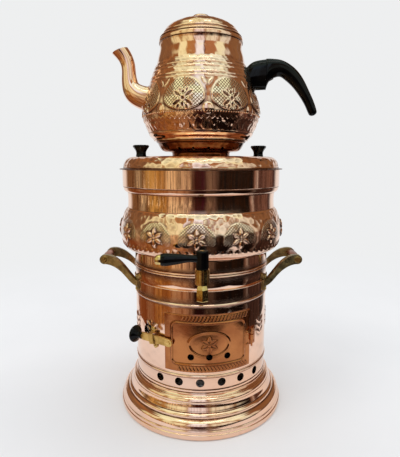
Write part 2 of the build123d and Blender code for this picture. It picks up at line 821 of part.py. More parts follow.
def fire_door():
    """Curved plate with a beaded panel and three draught holes."""
    inner = WALL_RADIUS + LOOSE_GAP
    outer = inner + DOOR_SHEET
    plane = facing(DOOR_ANGLE, door_middle(), WALL_RADIUS)
    plate = wall_patch(inner, outer, plane, Rectangle(chord(outer, DOOR_HALF_ANGLE), DOOR_HEIGHT))
    wide = chord(outer, PANEL_HALF_ANGLE)
    high = panel_height()
    frame = RectangleRounded(wide, high, 7)
    frame -= RectangleRounded(wide - 2 * PANEL_BEAD, high - 2 * PANEL_BEAD, 5)
    plate += wall_patch(outer - 0.3, outer + PANEL_BEAD_RISE, plane, frame)
    height = DOOR_Z + DOOR_HOLE_HEIGHT
    for n in (-1, 0, 1):
        spot = facing(DOOR_ANGLE + n * DOOR_HOLE_PITCH, height)
        plate -= rod(spot, DOOR_HOLE_RADIUS, WALL_RADIUS - 10, WALL_RADIUS + 10)
    for spot in door_leaf_rivet_places():
        plate -= rod(spot, RIVET_RADIUS + SHAFT_GAP, -10, 10)
    knuckle = hinge_plane(0)
    plate -= rod(knuckle, KNUCKLE_RADIUS + LOOSE_GAP, -HINGE_HEIGHT / 2 - 1, HINGE_HEIGHT / 2 + 1)
    return single(plate)


def hinge_plane(height):
    """Level plane on the hinge pin's axis."""
    return Plane(origin=on_ring(WALL_RADIUS + HINGE_STANDOFF, hinge_angle(), door_middle() + height))


def leaf(start, end, inner, knuckle_spans):
    """Curved hinge leaf from one angle to another, with its knuckles."""
    middle = facing((start + end) / 2, door_middle(), WALL_RADIUS)
    width = chord(inner + LEAF_SHEET, abs(end - start) / 2)
    plate = wall_patch(inner, inner + LEAF_SHEET, middle, Rectangle(width, HINGE_HEIGHT))
    third = HINGE_HEIGHT / 3
    axis = hinge_plane(0)
    plate -= rod(axis, KNUCKLE_RADIUS - 0.4, -HINGE_HEIGHT, HINGE_HEIGHT)
    for low in (-1.5 * third, -0.5 * third, 0.5 * third):
        if low not in [span * third for span in knuckle_spans]:
            plate -= rod(axis, KNUCKLE_RADIUS + LOOSE_GAP, low - 0.2, low + third + 0.2)
    for span in knuckle_spans:
        low = span * third
        plate += rod(axis, KNUCKLE_RADIUS, low + 0.15, low + third - 0.15)
    return single(plate - rod(axis, PIN_RADIUS + SHAFT_GAP, -HINGE_HEIGHT, HINGE_HEIGHT))


def door_hinge_leaf():
    end = hinge_angle() - 0.4
    inner = WALL_RADIUS + LOOSE_GAP + DOOR_SHEET
    plate = leaf(end - 2 * LEAF_HALF_ANGLE, end, inner, (-0.5,))
    for spot in door_leaf_rivet_places():
        plate -= rod(spot, RIVET_RADIUS + SHAFT_GAP, -10, 10)
    return plate


def casing_hinge_leaf():
    start = hinge_angle() + 0.4
    plate = leaf(start, start + 2 * LEAF_HALF_ANGLE, WALL_RADIUS + SEAM_GAP, (-1.5, 0.5))
    for spot in hinge_rivet_places():
        plate -= rod(spot, RIVET_RADIUS + SHAFT_GAP, -10, 10)
    return plate


def hinge_pin():
    axis = hinge_plane(0)
    pin = rod(axis, PIN_RADIUS, -HINGE_HEIGHT / 2 - 0.6, HINGE_HEIGHT / 2)
    return pin + rod(axis, PIN_RADIUS + 1.2, HINGE_HEIGHT / 2, HINGE_HEIGHT / 2 + 1.4)


def rivet_pair(angle):
    """Planes on the wall for a leaf's two rivets."""
    spacing = 0.33 * HINGE_HEIGHT
    return [facing(angle, door_middle() + side * spacing, WALL_RADIUS) for side in (-1, 1)]


def hinge_rivet_places():
    return rivet_pair(hinge_angle() + 0.4 + 1.25 * LEAF_HALF_ANGLE)


def door_leaf_rivet_places():
    return rivet_pair(hinge_angle() - 0.4 - 1.25 * LEAF_HALF_ANGLE)


def rivet(place, face, back, flush=False):
    """Rivet with a head on the outer face and, unless it is flush, another behind, at distances from a place."""
    body = rod(place, RIVET_RADIUS, back, face + 0.2) + rod(place, RIVET_HEAD_RADIUS, face, face + RIVET_HEAD)
    if flush:
        return body
    hollow = 0.05        # the wall curves away from a flat head
    tail = rod(place, RIVET_RADIUS, back - 0.5, back)
    return body + tail + rod(place, RIVET_HEAD_RADIUS - 0.2, back - 0.8, back - hollow)


# ---------------------------------------------------------------- bolt and its strap
def bolt_plane():
    """Plane square to the radius where the bolt lies: X to the right, Y up, origin on its back face."""
    back = WALL_RADIUS + LOOSE_GAP + DOOR_SHEET + PANEL_BEAD_RISE + LOOSE_GAP
    angle = DOOR_ANGLE - DOOR_HALF_ANGLE - BOLT_BEYOND_DOOR
    return facing(angle, door_middle(), back)


def latch_bolt():
    """Flat bar with a round nose that slides over the door's edge."""
    plane = bolt_plane()
    length = BOLT_RIGHT + BOLT_LEFT
    nose = BOLT_HEIGHT / 2
    bar = Pos((BOLT_RIGHT - BOLT_LEFT) / 2 - nose / 2, 0) * Rectangle(length - nose, BOLT_HEIGHT)
    bar += Pos(BOLT_RIGHT - nose, 0) * Circle(nose)
    body = extrude(plane * bar, BOLT_THICKNESS)
    body += rod(tang_plane(), BOLT_TANG_RADIUS, -0.5, BOLT_TANG)
    return single(body - rod(stop_plane(), RIVET_RADIUS + SHAFT_GAP, -5, 5))


def tang_plane():
    """Upright plane on the bolt's left end, its normal away from the bar."""
    plane = bolt_plane()
    end = plane.from_local_coords(Vector(-BOLT_LEFT, 0, BOLT_THICKNESS / 2))
    return Plane(origin=end, x_dir=plane.y_dir, z_dir=-plane.x_dir)


def stop_plane():
    plane = bolt_plane()
    spot = plane.from_local_coords(Vector(BOLT_RIGHT - BOLT_HEIGHT / 2, 0, 0))
    return Plane(origin=spot, x_dir=plane.x_dir, z_dir=plane.z_dir)


def latch_stop():
    """Pin in the bolt's nose that keeps it from leaving the strap."""
    pin = rod(stop_plane(), RIVET_RADIUS, 0.1, BOLT_THICKNESS)
    return pin + rod(stop_plane(), RIVET_HEAD_RADIUS, BOLT_THICKNESS, BOLT_THICKNESS + RIVET_HEAD)


def latch_knob():
    """Black mushroom knob on the bolt's tang."""
    head = BOLT_KNOB_RADIUS
    neck = 0.42 * head
    bore = BOLT_TANG_RADIUS + SHAFT_GAP
    knob = spun_solid(
        (bore, 0),
        (neck, 0),
        [(neck - 0.3, 0.22 * BOLT_KNOB_LENGTH), (head - 0.6, 0.56 * BOLT_KNOB_LENGTH)],
        (head - 1.4, 0.86 * BOLT_KNOB_LENGTH, -1.3),
        (0, BOLT_KNOB_LENGTH),
        (0, BOLT_TANG + 0.3),
        (bore, BOLT_TANG + 0.3),
    )
    return tang_plane().offset(0.2).location * knob


def strap_frame():
    """Plane of the strap's back face, turned a little out of upright."""
    plane = bolt_plane()
    turn = math.radians(STRAP_TILT)
    origin = plane.from_local_coords(Vector(-STRAP_OFFSET, 0, BOLT_THICKNESS + LOOSE_GAP))
    upright = plane.y_dir * math.cos(turn) - plane.x_dir * math.sin(turn)
    return Plane(origin=origin, x_dir=upright.cross(plane.z_dir), z_dir=plane.z_dir)


def strap_foot_reach():
    return STRAP_LENGTH / 2 - STRAP_WIDTH / 2


def latch_strap():
    """Bridge riveted to the casing at both ends, which the bolt slides through."""
    frame = strap_frame()
    half = STRAP_LENGTH / 2
    step = BOLT_HEIGHT / 2 + 3.2
    drop = 12.0
    bridge = extrude(frame * Rectangle(STRAP_WIDTH, 2 * step), STRAP_SHEET)
    block = Pos(0, 0) * RectangleRounded(STRAP_WIDTH, 2 * half, STRAP_WIDTH / 2 - 0.1)
    feet = extrude(frame.offset(-drop) * block, drop + STRAP_SHEET)
    feet &= ring(WALL_RADIUS + SEAM_GAP + STRAP_SHEET, WALL_RADIUS + SEAM_GAP, CASING_Z, FLOOR_Z)
    legs = extrude(frame.offset(-drop) * Rectangle(STRAP_WIDTH, 2 * step), drop + STRAP_SHEET)
    legs -= extrude(frame.offset(-drop) * Rectangle(STRAP_WIDTH + 2, 2 * (step - STRAP_SHEET)), drop)
    legs -= ring(WALL_RADIUS + SEAM_GAP, 1, CASING_Z, FLOOR_Z)
    clear = extrude(frame.offset(-drop) * Rectangle(STRAP_WIDTH + 2, 2 * (step - STRAP_SHEET)), drop)
    body = bridge + legs + (feet - clear)
    for place in strap_rivet_places():
        body -= rod(place, RIVET_RADIUS + SHAFT_GAP, -10, 10)
    return single(body)


def strap_rivet_places():
    """Planes on the wall, square to the radius, where the strap's rivets go."""
    frame = strap_frame()
    places = []
    for side in (-1, 1):
        spot = frame.from_local_coords(Vector(0, side * strap_foot_reach(), 0))
        angle = math.degrees(math.atan2(spot.X, -spot.Y))
        places.append(facing(angle, spot.Z, WALL_RADIUS))
    return places


# ---------------------------------------------------------------- tap
def tap_plane():
    """Upright plane on the wall, its normal along the shank and away from the samovar."""
    return Plane(origin=(TAP_SIDE, -WALL_RADIUS, TAP_Z), x_dir=(1, 0, 0), z_dir=(0, -1, 0))


def tap_axis():
    """Level plane on the plug's axis at the shank's height."""
    return Plane(origin=(TAP_SIDE, -WALL_RADIUS - TAP_REACH, TAP_Z))


def barrel_low():
    return (BARREL_ABOVE - 1) * BARREL_HEIGHT


def barrel_high():
    return BARREL_ABOVE * BARREL_HEIGHT


def plug_cone(gap=0.0):
    """Tapered plug, or the barrel's seat for it."""
    low, high = barrel_low(), barrel_high()
    cone = spun_solid((0, low), (PLUG_TOP_RADIUS - PLUG_TAPER + gap, low), (PLUG_TOP_RADIUS + gap, high), (0, high))
    return tap_axis().location * cone


def tap_body():
    """Shank and barrel in one casting, bored for the plug and the water."""
    shank = rod(tap_plane(), SHANK_RADIUS, -16, TAP_REACH)
    axis = tap_axis()
    low = barrel_low()
    barrel = rod(axis, BARREL_RADIUS, low, barrel_high())
    body = shank + barrel
    body -= plug_cone(SHAFT_GAP)
    body -= rod(tap_plane(), SPOUT_BORE - 0.8, -20, TAP_REACH)
    return single(body - rod(axis, SPOUT_BORE, low - 1, low + 1))


def tap_spout():
    """Six-sided spout with a round shoulder, soldered under the barrel."""
    axis = tap_axis()
    end = barrel_low() - SPOUT_LENGTH
    long = SPOUT_LENGTH - SEAM_GAP
    spout = extrude(axis.offset(end) * RegularPolygon(SPOUT_RADIUS, 6, rotation=30), long)
    spout += rod(axis, SPOUT_RADIUS + 0.4, end + SPOUT_LENGTH - 3.0, end + long)
    return single(spout - rod(axis, SPOUT_BORE, end - 1, end + SPOUT_LENGTH))


def tap_plug():
    """Tapered plug with its collar and square stem, cross-drilled for the water."""
    axis = tap_axis()
    top = barrel_high()
    plug = plug_cone() + rod(axis, BARREL_RADIUS - 0.4, top + 0.1, top + COLLAR_HEIGHT)
    plug += rod(axis, PLUG_TOP_RADIUS - 0.2, top - 0.5, top + 0.5)
    plug += extrude(axis.offset(top + COLLAR_HEIGHT - 0.5) * Rectangle(STEM_SIDE, STEM_SIDE), HUB_HEIGHT - 6)
    plug -= rod(axis, SPOUT_BORE - 1.6, barrel_low() - 1, 2)
    sideways = Plane(origin=axis.origin, x_dir=(0, 1, 0), z_dir=(1, 0, 0))
    plug -= rod(sideways, SPOUT_BORE - 1.6, 0, 20)
    return single(plug - rod(axis, SCREW_RADIUS + SHAFT_GAP, top + 8, top + HUB_HEIGHT))


def hub_low():
    return barrel_high() + COLLAR_HEIGHT


def tap_handle():
    """Black hub and tapered lever in one moulding."""
    axis = tap_axis()
    low = hub_low()
    hub = rod(axis, HUB_RADIUS, low, low + HUB_HEIGHT)
    along = Plane(origin=axis.origin + Vector(0, 0, low), x_dir=(0, -1, 0), z_dir=(-1, 0, 0))
    stations = (
        (2.0, 12.0, 11.0, LEVER_NARROW + 1.6),
        (14.0, 12.4, 9.0, LEVER_NARROW),
        (26.0, 12.0, 10.0, 0.5 * (LEVER_NARROW + LEVER_WIDE)),
        (LEVER_LENGTH - 3, 11.0, 12.4, LEVER_WIDE),
        (LEVER_LENGTH, LEVER_END_RISE, 11.2, LEVER_WIDE - 1.4),
    )
    sections = []
    for reach, height, thick, tall in stations:
        face = along.offset(reach)
        sections.append(face * Pos(0, height) * Ellipse(thick / 2, tall / 2))
    lever = loft(sections)
    body = hub + lever
    body -= extrude(axis.offset(low) * Rectangle(STEM_SIDE + 0.1, STEM_SIDE + 0.1), HUB_HEIGHT - 6.5 + 0.2)
    body -= rod(axis, SCREW_RADIUS + SHAFT_GAP, low, low + HUB_HEIGHT)
    return single(body - rod(axis, SCREW_RADIUS + 1.7, low + HUB_HEIGHT - 2, low + HUB_HEIGHT))


def tap_handle_cap():
    """Brass cap on the lever's end."""
    end = tap_axis().origin + Vector(0, 0, hub_low() + LEVER_END_RISE)
    along = Plane(origin=end, x_dir=(0, -1, 0), z_dir=(-1, 0, 0))
    stations = (
        (LEVER_LENGTH, 9.6, LEVER_WIDE - 2.4),
        (LEVER_LENGTH + 0.55 * CAP_LENGTH, 9.0, LEVER_WIDE - 3.4),
        (LEVER_LENGTH + CAP_LENGTH, 4.6, 6.4),
    )
    return loft([along.offset(reach) * Ellipse(thick / 2, tall / 2) for reach, thick, tall in stations])


def tap_screw():
    axis = tap_axis()
    low = hub_low()
    shank = rod(axis, SCREW_RADIUS, low + HUB_HEIGHT - 12, low + HUB_HEIGHT - 1.5)
    return shank + rod(axis, SCREW_RADIUS + 1.6, low + HUB_HEIGHT - 2, low + HUB_HEIGHT - 0.4)


def tap_flange():
    """Round brass plate between the tap and the wall, saddled to the wall."""
    plate = rod(tap_plane(), TAP_FLANGE_RADIUS, -6, 3.2) - rod(tap_plane(), SHANK_RADIUS + SEAM_GAP, -20, 20)
    return single(plate - ring(WALL_RADIUS + SEAM_GAP, 1, VESSEL_Z, BELLY_Z))


def tap_washer():
    """Soft washer behind the wall."""
    plate = rod(tap_plane(), SHANK_RADIUS + 4.5, -6.0, -1.0) - rod(tap_plane(), SHANK_RADIUS + SEAM_GAP, -20, 20)
    inside = rod(Plane.XY, WALL_INSIDE - SEAM_GAP, VESSEL_Z, BELLY_Z)
    return single(plate & inside)


def tap_nut():
    """Nut that pulls the tap to the wall from inside the vessel."""
    nut = extrude(tap_plane().offset(-12.0) * RegularPolygon(SHANK_RADIUS + 5.0, 6), 6.0)
    return single(nut - rod(tap_plane(), SHANK_RADIUS + SHAFT_GAP, -20, 20))


# ---------------------------------------------------------------- side handles
def arm_frame(side, front):
    """Upright plane through an arm's eye and its foot: X towards the samovar, Y up."""
    eye = Vector(side * GRIP_X, front * ARM_Y, GRIP_Z)
    foot = Vector(side * math.sqrt(WALL_RADIUS**2 - FOOT_Y**2), front * FOOT_Y, GRIP_Z)
    along = (foot - eye).normalized()
    return Plane(origin=eye, x_dir=along, z_dir=along.cross(Vector(0, 0, 1)))


def arm_run():
    """Level distance from an eye to the wall at the arm's foot."""
    return math.hypot(GRIP_X - math.sqrt(WALL_RADIUS**2 - FOOT_Y**2), FOOT_Y - ARM_Y)


def pad_plane(side, front):
    angle = math.degrees(math.asin(FOOT_Y / WALL_RADIUS))
    turn = side * (90 - angle) if front < 0 else side * (90 + angle)
    return facing(turn, PAD_Z, WALL_RADIUS)


def pad_rivet_places():
    places = []
    for side in (-1, 1):
        for front in (-1, 1):
            plane = pad_plane(side, front)
            for height in PAD_RIVETS:
                spot = plane.from_local_coords(Vector(0, height, 0))
                places.append(Plane(origin=spot, x_dir=plane.x_dir, z_dir=plane.z_dir))
    return places


def handle_arm(side, front):
    """Cast arm: an eye for the grip, an S-shaped web and a riveted pad."""
    frame = arm_frame(side, front)
    run = arm_run()

    def at(share, drop):
        return (share * run, -drop * ARM_FALL)

    web = make_face(
        outline(
            at(0, -0.22),
            [at(0.20, -0.205), at(0.41, -0.04), at(0.63, 0.30), at(0.84, 0.70), at(1.04, 0.97)],
            at(1.04, 1.17),
            [at(0.88, 1.09), at(0.70, 0.82), at(0.53, 0.54), at(0.36, 0.35), at(0.20, 0.25), at(0, 0.22)],
            at(0, -0.22),
        ).edges()
    )
    arm = extrude(frame * web, ARM_THICKNESS / 2, both=True)
    eye = Plane(origin=frame.origin, x_dir=(1, 0, 0), z_dir=(0, 1, 0))
    arm += rod(eye, EYE_RADIUS, -EYE_LENGTH / 2, EYE_LENGTH / 2)
    plane = pad_plane(side, front)
    shape = RectangleRounded(PAD_WIDTH, PAD_HEIGHT, PAD_WIDTH / 2 - 0.1)
    arm += wall_patch(WALL_RADIUS + SEAM_GAP, WALL_RADIUS + PAD_SHEET, plane, shape)
    arm -= rod(Plane.XY, WALL_RADIUS + SEAM_GAP, CASING_Z, BELLY_Z)
    notch = FLANGE_PROUD + LOOSE_GAP
    arm -= ring(WALL_RADIUS + notch, 1, FLOOR_Z - LOOSE_GAP, VESSEL_Z + LOOSE_GAP)
    arm -= rod(eye, ROD_RADIUS + SHAFT_GAP, -20, 20)
    arm -= rod(eye, ROD_HEAD_RADIUS + SHAFT_GAP, front * EYE_LENGTH / 2, front * EYE_LENGTH)
    for place in pad_rivet_places():
        arm -= rod(place, RIVET_RADIUS + SHAFT_GAP, -10, 10)
    return single(arm)


def grip_plane(side):
    return Plane(origin=(side * GRIP_X, 0, GRIP_Z), x_dir=(1, 0, 0), z_dir=(0, 1, 0))


def grip(side):
    """Barrel-shaped copper grip between the two eyes."""
    half = ARM_Y - EYE_LENGTH / 2
    bore = ROD_RADIUS + SHAFT_GAP
    end = GRIP_RADIUS - 1.2
    barrel = spun_solid((bore, -half), (end, -half), (end, half, -1.2), (bore, half))
    return grip_plane(side).location * barrel


def grip_rod(side):
    """Rod through the grip with a domed head at each end."""
    plane = grip_plane(side)
    half = ARM_Y + EYE_LENGTH / 2
    body = rod(plane, ROD_RADIUS, -half - 0.5, half + 0.5)
    for end in (-1, 1):
        body += rod(plane, ROD_HEAD_RADIUS, end * half, end * (half + ROD_HEAD))
    return body


# ---------------------------------------------------------------- rivets
def handle_rivets():
    inside = -SHEET
    return [rivet(place, PAD_SHEET, inside) for place in pad_rivet_places()]


def hinge_rivets():
    face = SEAM_GAP + LEAF_SHEET
    return [rivet(place, face, -SHEET) for place in hinge_rivet_places()]


def door_rivets():
    face = LOOSE_GAP + DOOR_SHEET + LEAF_SHEET
    return [rivet(place, face, LOOSE_GAP + 0.1, flush=True) for place in door_leaf_rivet_places()]


def strap_rivets():
    face = SEAM_GAP + STRAP_SHEET
    return [rivet(place, face, -SHEET) for place in strap_rivet_places()]


# ---------------------------------------------------------------- the samovar
def pieces():
    sides = {"left": -1, "right": 1}
    ends = {"front": -1, "rear": 1}
    made = {
        "foot_ring": foot_ring(),
        "ash_plate": ash_plate(),
        "base_skirt": base_skirt(),
        "vent_band": vent_band(),
        "grate_ledge": grate_ledge(),
        "grate": grate(),
        "firebox_casing": firebox_casing(),
        "vessel_floor": vessel_floor(),
        "vessel_wall": vessel_wall(),
        "belly_band": belly_band(),
        "neck_band": neck_band(),
        "rim_band": rim_band(),
        "fire_tube": fire_tube(),
        "lid": lid(),
        "lid_skirt": lid_skirt(),
        "lid_knob_screws": lid_knob_screws(),
        "crown_neck": crown_neck(),
        "crown": crown(),
        "teapot_base": pot_base(),
        "teapot_body": teapot_body(),
        "teapot_spout": teapot_spout(),
        "teapot_handle_root": teapot_handle_root(),
        "teapot_handle": teapot_handle(),
        "teapot_handle_screws": teapot_handle_screws(),
        "teapot_lid": teapot_lid(),
        "teapot_lid_knob": teapot_lid_knob(),
        "teapot_lid_rivet": teapot_lid_rivet(),
        "fire_door": fire_door(),
        "door_hinge_leaf": door_hinge_leaf(),
        "door_rivets": door_rivets(),
        "casing_hinge_leaf": casing_hinge_leaf(),
        "hinge_pin": hinge_pin(),
        "hinge_rivets": hinge_rivets(),
        "latch_strap": latch_strap(),
        "strap_rivets": strap_rivets(),
        "latch_bolt": latch_bolt(),
        "latch_stop": latch_stop(),
        "latch_knob": latch_knob(),
        "tap_body": tap_body(),
        "tap_spout": tap_spout(),
        "tap_flange": tap_flange(),
        "tap_washer": tap_washer(),
        "tap_nut": tap_nut(),
        "tap_plug": tap_plug(),
        "tap_handle": tap_handle(),
        "tap_handle_cap": tap_handle_cap(),
        "tap_screw": tap_screw(),
        "handle_rivets": handle_rivets(),
    }
    for name, side in sides.items():
        made[f"{name}_lid_knob"] = lid_knob(KNOB_ANGLES[name])
        made[f"{name}_grip"] = grip(side)
        made[f"{name}_grip_rod"] = grip_rod(side)
        for end, front in ends.items():
            made[f"{name}_{end}_arm"] = handle_arm(side, front)
    return made


os.makedirs("parts", exist_ok=True)
for name, shape in pieces().items():
    solids = shape if isinstance(shape, list) else [shape]
    solids = [solid for piece in solids for solid in piece.solids()]
    export_step(Compound(children=solids), f"parts/{name}.step")
    print(name, len(solids), round(sum(s.volume for s in solids)))
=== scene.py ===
# %% [markdown]
# A wood-fired copper samovar with its teapot. The CAD model gives every piece its size and place in metres.
# This script gives the pieces their looks: spun copper shells with raised ornament, cast brass, black
# bakelite. Each cell first says what a piece is on the real object, then makes it.

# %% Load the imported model
import json
import math
from contextlib import contextmanager

import bmesh
import bpy
import numpy as np
from mathutils import Matrix, Vector

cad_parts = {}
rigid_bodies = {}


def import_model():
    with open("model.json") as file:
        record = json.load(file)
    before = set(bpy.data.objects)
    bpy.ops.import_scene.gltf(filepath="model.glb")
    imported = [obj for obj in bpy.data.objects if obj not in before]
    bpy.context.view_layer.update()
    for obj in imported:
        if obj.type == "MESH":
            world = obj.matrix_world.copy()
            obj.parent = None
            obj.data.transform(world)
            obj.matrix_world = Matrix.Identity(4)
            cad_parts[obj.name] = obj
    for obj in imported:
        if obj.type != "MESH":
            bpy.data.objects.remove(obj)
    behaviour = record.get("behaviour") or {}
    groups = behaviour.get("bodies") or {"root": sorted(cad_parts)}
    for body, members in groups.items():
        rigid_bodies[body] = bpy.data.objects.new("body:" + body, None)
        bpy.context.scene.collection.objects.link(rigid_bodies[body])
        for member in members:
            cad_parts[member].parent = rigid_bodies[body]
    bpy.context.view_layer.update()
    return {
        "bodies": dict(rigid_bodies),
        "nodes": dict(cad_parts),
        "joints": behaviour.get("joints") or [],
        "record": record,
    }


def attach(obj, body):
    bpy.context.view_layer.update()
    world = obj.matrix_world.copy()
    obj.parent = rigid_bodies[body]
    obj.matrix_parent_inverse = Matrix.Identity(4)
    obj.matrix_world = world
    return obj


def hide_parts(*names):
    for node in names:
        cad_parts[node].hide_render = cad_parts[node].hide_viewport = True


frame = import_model()

MM = 0.001
PI_180 = math.pi / 180
# in millimetres and degrees: the round wall's outside and its sheet, the door's middle, the teapot's seat
WALL, SHEET = 96.2, 1.2
DOOR_MIDDLE, DOOR_TURN, DOOR_HALF, DOOR_RADIUS = 121.4, 6.4, 35.8, 98.3
POT_Z = 382.6

# %% [markdown]
# The camera stands in front of the tap, a little above the rim, and looks 9.2 degrees down. Its lens is the
# one whose picture of the round foot and the round rim has the right ellipses.

# %% Camera
def placed(name, data):
    """A new object in the scene."""
    thing = bpy.data.objects.new(name, data)
    bpy.context.scene.collection.objects.link(thing)
    return thing


LENS, TILT = 32.17, 9.2
camera = placed("camera", bpy.data.cameras.new("camera"))
camera.data.lens = LENS
camera.data.sensor_width = 36.0
camera.data.clip_start = 0.01
camera.location = (-0.0013, -0.594, 0.3536)
camera.rotation_euler = (math.radians(90 - TILT), 0, 0)
bpy.context.scene.camera = camera
bpy.context.scene.view_settings.view_transform = "Standard"

# %% [markdown]
# Shader maths reads best as Python. This class wraps one output socket of a node tree, so that `1 - mask *
# 0.3` adds the Math nodes it needs. `Tree.node` adds any other node: settings first, then its inputs.

# %% Shader expressions
class Value:
    def __init__(self, tree, socket):
        self.tree, self.socket = tree, socket

    def maths(self, operation, other=None, turned=False):
        values = [self] if other is None else [other, self] if turned else [self, other]
        return self.tree.node("ShaderNodeMath", {"operation": operation}, dict(enumerate(values)))

    def __add__(self, other):
        return self.maths("ADD", other)

    def __radd__(self, other):
        return self.maths("ADD", other)

    def __sub__(self, other):
        return self.maths("SUBTRACT", other)

    def __rsub__(self, other):
        return self.maths("SUBTRACT", other, turned=True)

    def __mul__(self, other):
        return self.maths("MULTIPLY", other)

    def __rmul__(self, other):
        return self.maths("MULTIPLY", other)

    def __truediv__(self, other):
        return self.maths("DIVIDE", other)

    def __abs__(self):
        return self.maths("ABSOLUTE")

    def above(self, other):
        return self.maths("GREATER_THAN", other)

    def atan2(self, other):
        return self.maths("ARCTAN2", other)

    def larger(self, other):
        return self.maths("MAXIMUM", other)

    def ease(self, low, high, start=0.0, end=1.0):
        """Smooth step from start to end while the value runs from low to high."""
        inputs = {"Value": self, "From Min": low, "From Max": high, "To Min": start, "To Max": end}
        return self.tree.node("ShaderNodeMapRange", {"interpolation_type": "SMOOTHSTEP"}, inputs, "Result")


class Tree:
    def __init__(self, node_tree):
        self.nodes, self.links = node_tree.nodes, node_tree.links

    def node(self, kind, settings=None, inputs=None, output=0):
        made = self.nodes.new(kind)
        for name, value in (settings or {}).items():
            if name == "ramp":
                ramp = made.color_ramp
                while len(ramp.elements) < len(value):
                    ramp.elements.new(0.5)
                for element, (place, colour) in zip(ramp.elements, value):
                    element.position, element.color = place, (*colour, 1.0)
            else:
                setattr(made, name, value)
        for name, value in (inputs or {}).items():
            socket = made.inputs[name]
            if isinstance(value, Value):
                self.links.new(value.socket, socket)
            else:
                socket.default_value = value
        return Value(self, made.outputs[output])

    def mix(self, factor, first, second):
        """Blend of two colours, each a tuple or a socket."""
        made = self.nodes.new("ShaderNodeMix")
        made.data_type = "RGBA"
        for socket, value in ((made.inputs[0], factor), (made.inputs[6], first), (made.inputs[7], second)):
            if isinstance(value, Value):
                self.links.new(value.socket, socket)
            else:
                socket.default_value = (*value, 1.0) if isinstance(value, tuple) else value
        return Value(self, made.outputs[2])

    def place(self, scale=(1, 1, 1)):
        """Object coordinates, stretched."""
        here = self.node("ShaderNodeTexCoord", output="Object")
        return self.node("ShaderNodeVectorMath", {"operation": "MULTIPLY"}, {0: here, 1: scale})

    def noise(self, scale, detail=3.0, stretch=(1, 1, 1), roughness=0.5):
        inputs = {"Vector": self.place(stretch), "Scale": scale, "Detail": detail, "Roughness": roughness}
        return self.node("ShaderNodeTexNoise", {}, inputs, "Fac")

    def mark(self, name):
        """A number stored on the mesh's points."""
        return self.node("ShaderNodeAttribute", {"attribute_name": name}, {}, "Fac")


def finish_of(name, colour, **sockets):
    """A material with one Principled shader: numbers go on its own sockets, values and blends are linked."""
    material = bpy.data.materials.new(name)
    material.use_nodes = True
    tree = Tree(material.node_tree)
    shader = tree.nodes["Principled BSDF"]
    settings = {"Base Color": colour, **sockets}
    made = {key: value(tree) if callable(value) else value for key, value in settings.items()}
    for key, value in made.items():
        if isinstance(value, Value):
            tree.links.new(value.socket, shader.inputs[key])
        else:
            shader.inputs[key].default_value = (*value, 1.0) if isinstance(value, tuple) else value
    return material


def bumped(tree, height, depth):
    """A normal from a height in 0..1 that is depth metres high."""
    return tree.node("ShaderNodeBump", {}, {"Height": height, "Distance": depth, "Strength": 1.0}, "Normal")


def shades(scale, detail, low, high, first, second, **noise):
    """A colour that drifts between two shades in clouds."""
    return lambda tree: tree.mix(tree.noise(scale, detail, **noise).ease(low, high), first, second)


def drift(scale, detail, *ease):
    """A number that drifts from the ease's start to its end in clouds."""
    return lambda tree: tree.noise(scale, detail).ease(*ease)


def grain(scale, detail, depth, **noise):
    """A fine unevenness of the surface, depth metres high."""
    return lambda tree: bumped(tree, tree.noise(scale, detail, **noise), depth)

# %% [markdown]
# Copper is a coloured mirror. Spinning on a lathe leaves hair lines around it, polishing leaves broad waves
# that bend the reflections, and tarnish stays in the hollows of the ornament, where no cloth reaches. The
# finish darkens those hollows and the grooves of the profiles, as tarnish and painted shade. The mesh says
# where those hollows are, with the mark "hollow", and the mark "inside" says where it was tinned.

# %% Copper
def net_cells(tree):
    """Raised cells of the hammered net, 0 in its cut lines. The belly has finer cells than the teapot."""
    parts = tree.node("ShaderNodeSeparateXYZ", {}, {0: tree.place()}, "X").socket.node.outputs
    x, y, z = (Value(tree, parts[name]) for name in "XYZ")
    pot = z.above(0.35)
    count = pot * (POT_NET - BELLY_NET) + BELLY_NET
    across = x.atan2(y * -1) * count / (2 * math.pi)
    upward = z * 1000 / (pot * 0.6 + NET_HEIGHT)
    lines = [abs((across + upward * side).maths("FRACT") - 0.5) * 2 for side in (1, -1)]
    return (1 - lines[0].larger(lines[1])).ease(0.14, 0.34)


def copper_colour(tree):
    cloud = tree.noise(9.0, 4.0).ease(0.35, 0.7)
    polished = tree.mix(cloud, (0.95, 0.65, 0.50), (0.93, 0.57, 0.38))
    stain = tree.noise(60.0, 5.0, roughness=0.7).ease(0.58, 0.78) * 0.2
    polished = tree.mix(stain, polished, (0.55, 0.24, 0.12))
    # The net's ground is painted paler, a painted highlight, and its cut lines dark, as tarnish and painted
    # shade.
    polished = tree.mix(tree.mark("net"), polished, (0.98, 0.74, 0.54))
    cut = tree.mark("net") * (1 - net_cells(tree)) * 0.92
    # Hollows and grooves are darkened, as tarnish and painted shade.
    hollow = tree.mark("hollow") * tree.noise(140.0, 3.0).ease(0.2, 0.6, 0.75, 1.0)
    worn = tree.mix(hollow.larger(cut), polished, (0.11, 0.035, 0.015))
    return tree.mix(tree.mark("inside"), worn, (0.60, 0.58, 0.55))


def copper_roughness(tree):
    hair = tree.noise(30.0, 4.0, (1, 1, 60)).ease(0.3, 0.7, 0.0, 0.04)
    smear = tree.noise(22.0, 4.0).ease(0.5, 0.8, 0.0, 0.06)
    return hair + smear + tree.mark("hollow") * 0.25 + tree.mark("inside") * 0.3 + 0.035


def copper_normal(tree):
    wave = tree.noise(16.0, 2.0, (1, 1, 0.7)) * 0.6 + tree.noise(60.0, 2.0) * 0.10
    hair = tree.noise(40.0, 3.0, (1, 1, 70)) * 0.012
    net = tree.mark("net") * net_cells(tree) * 0.25
    return bumped(tree, wave + hair + net, 0.0005)


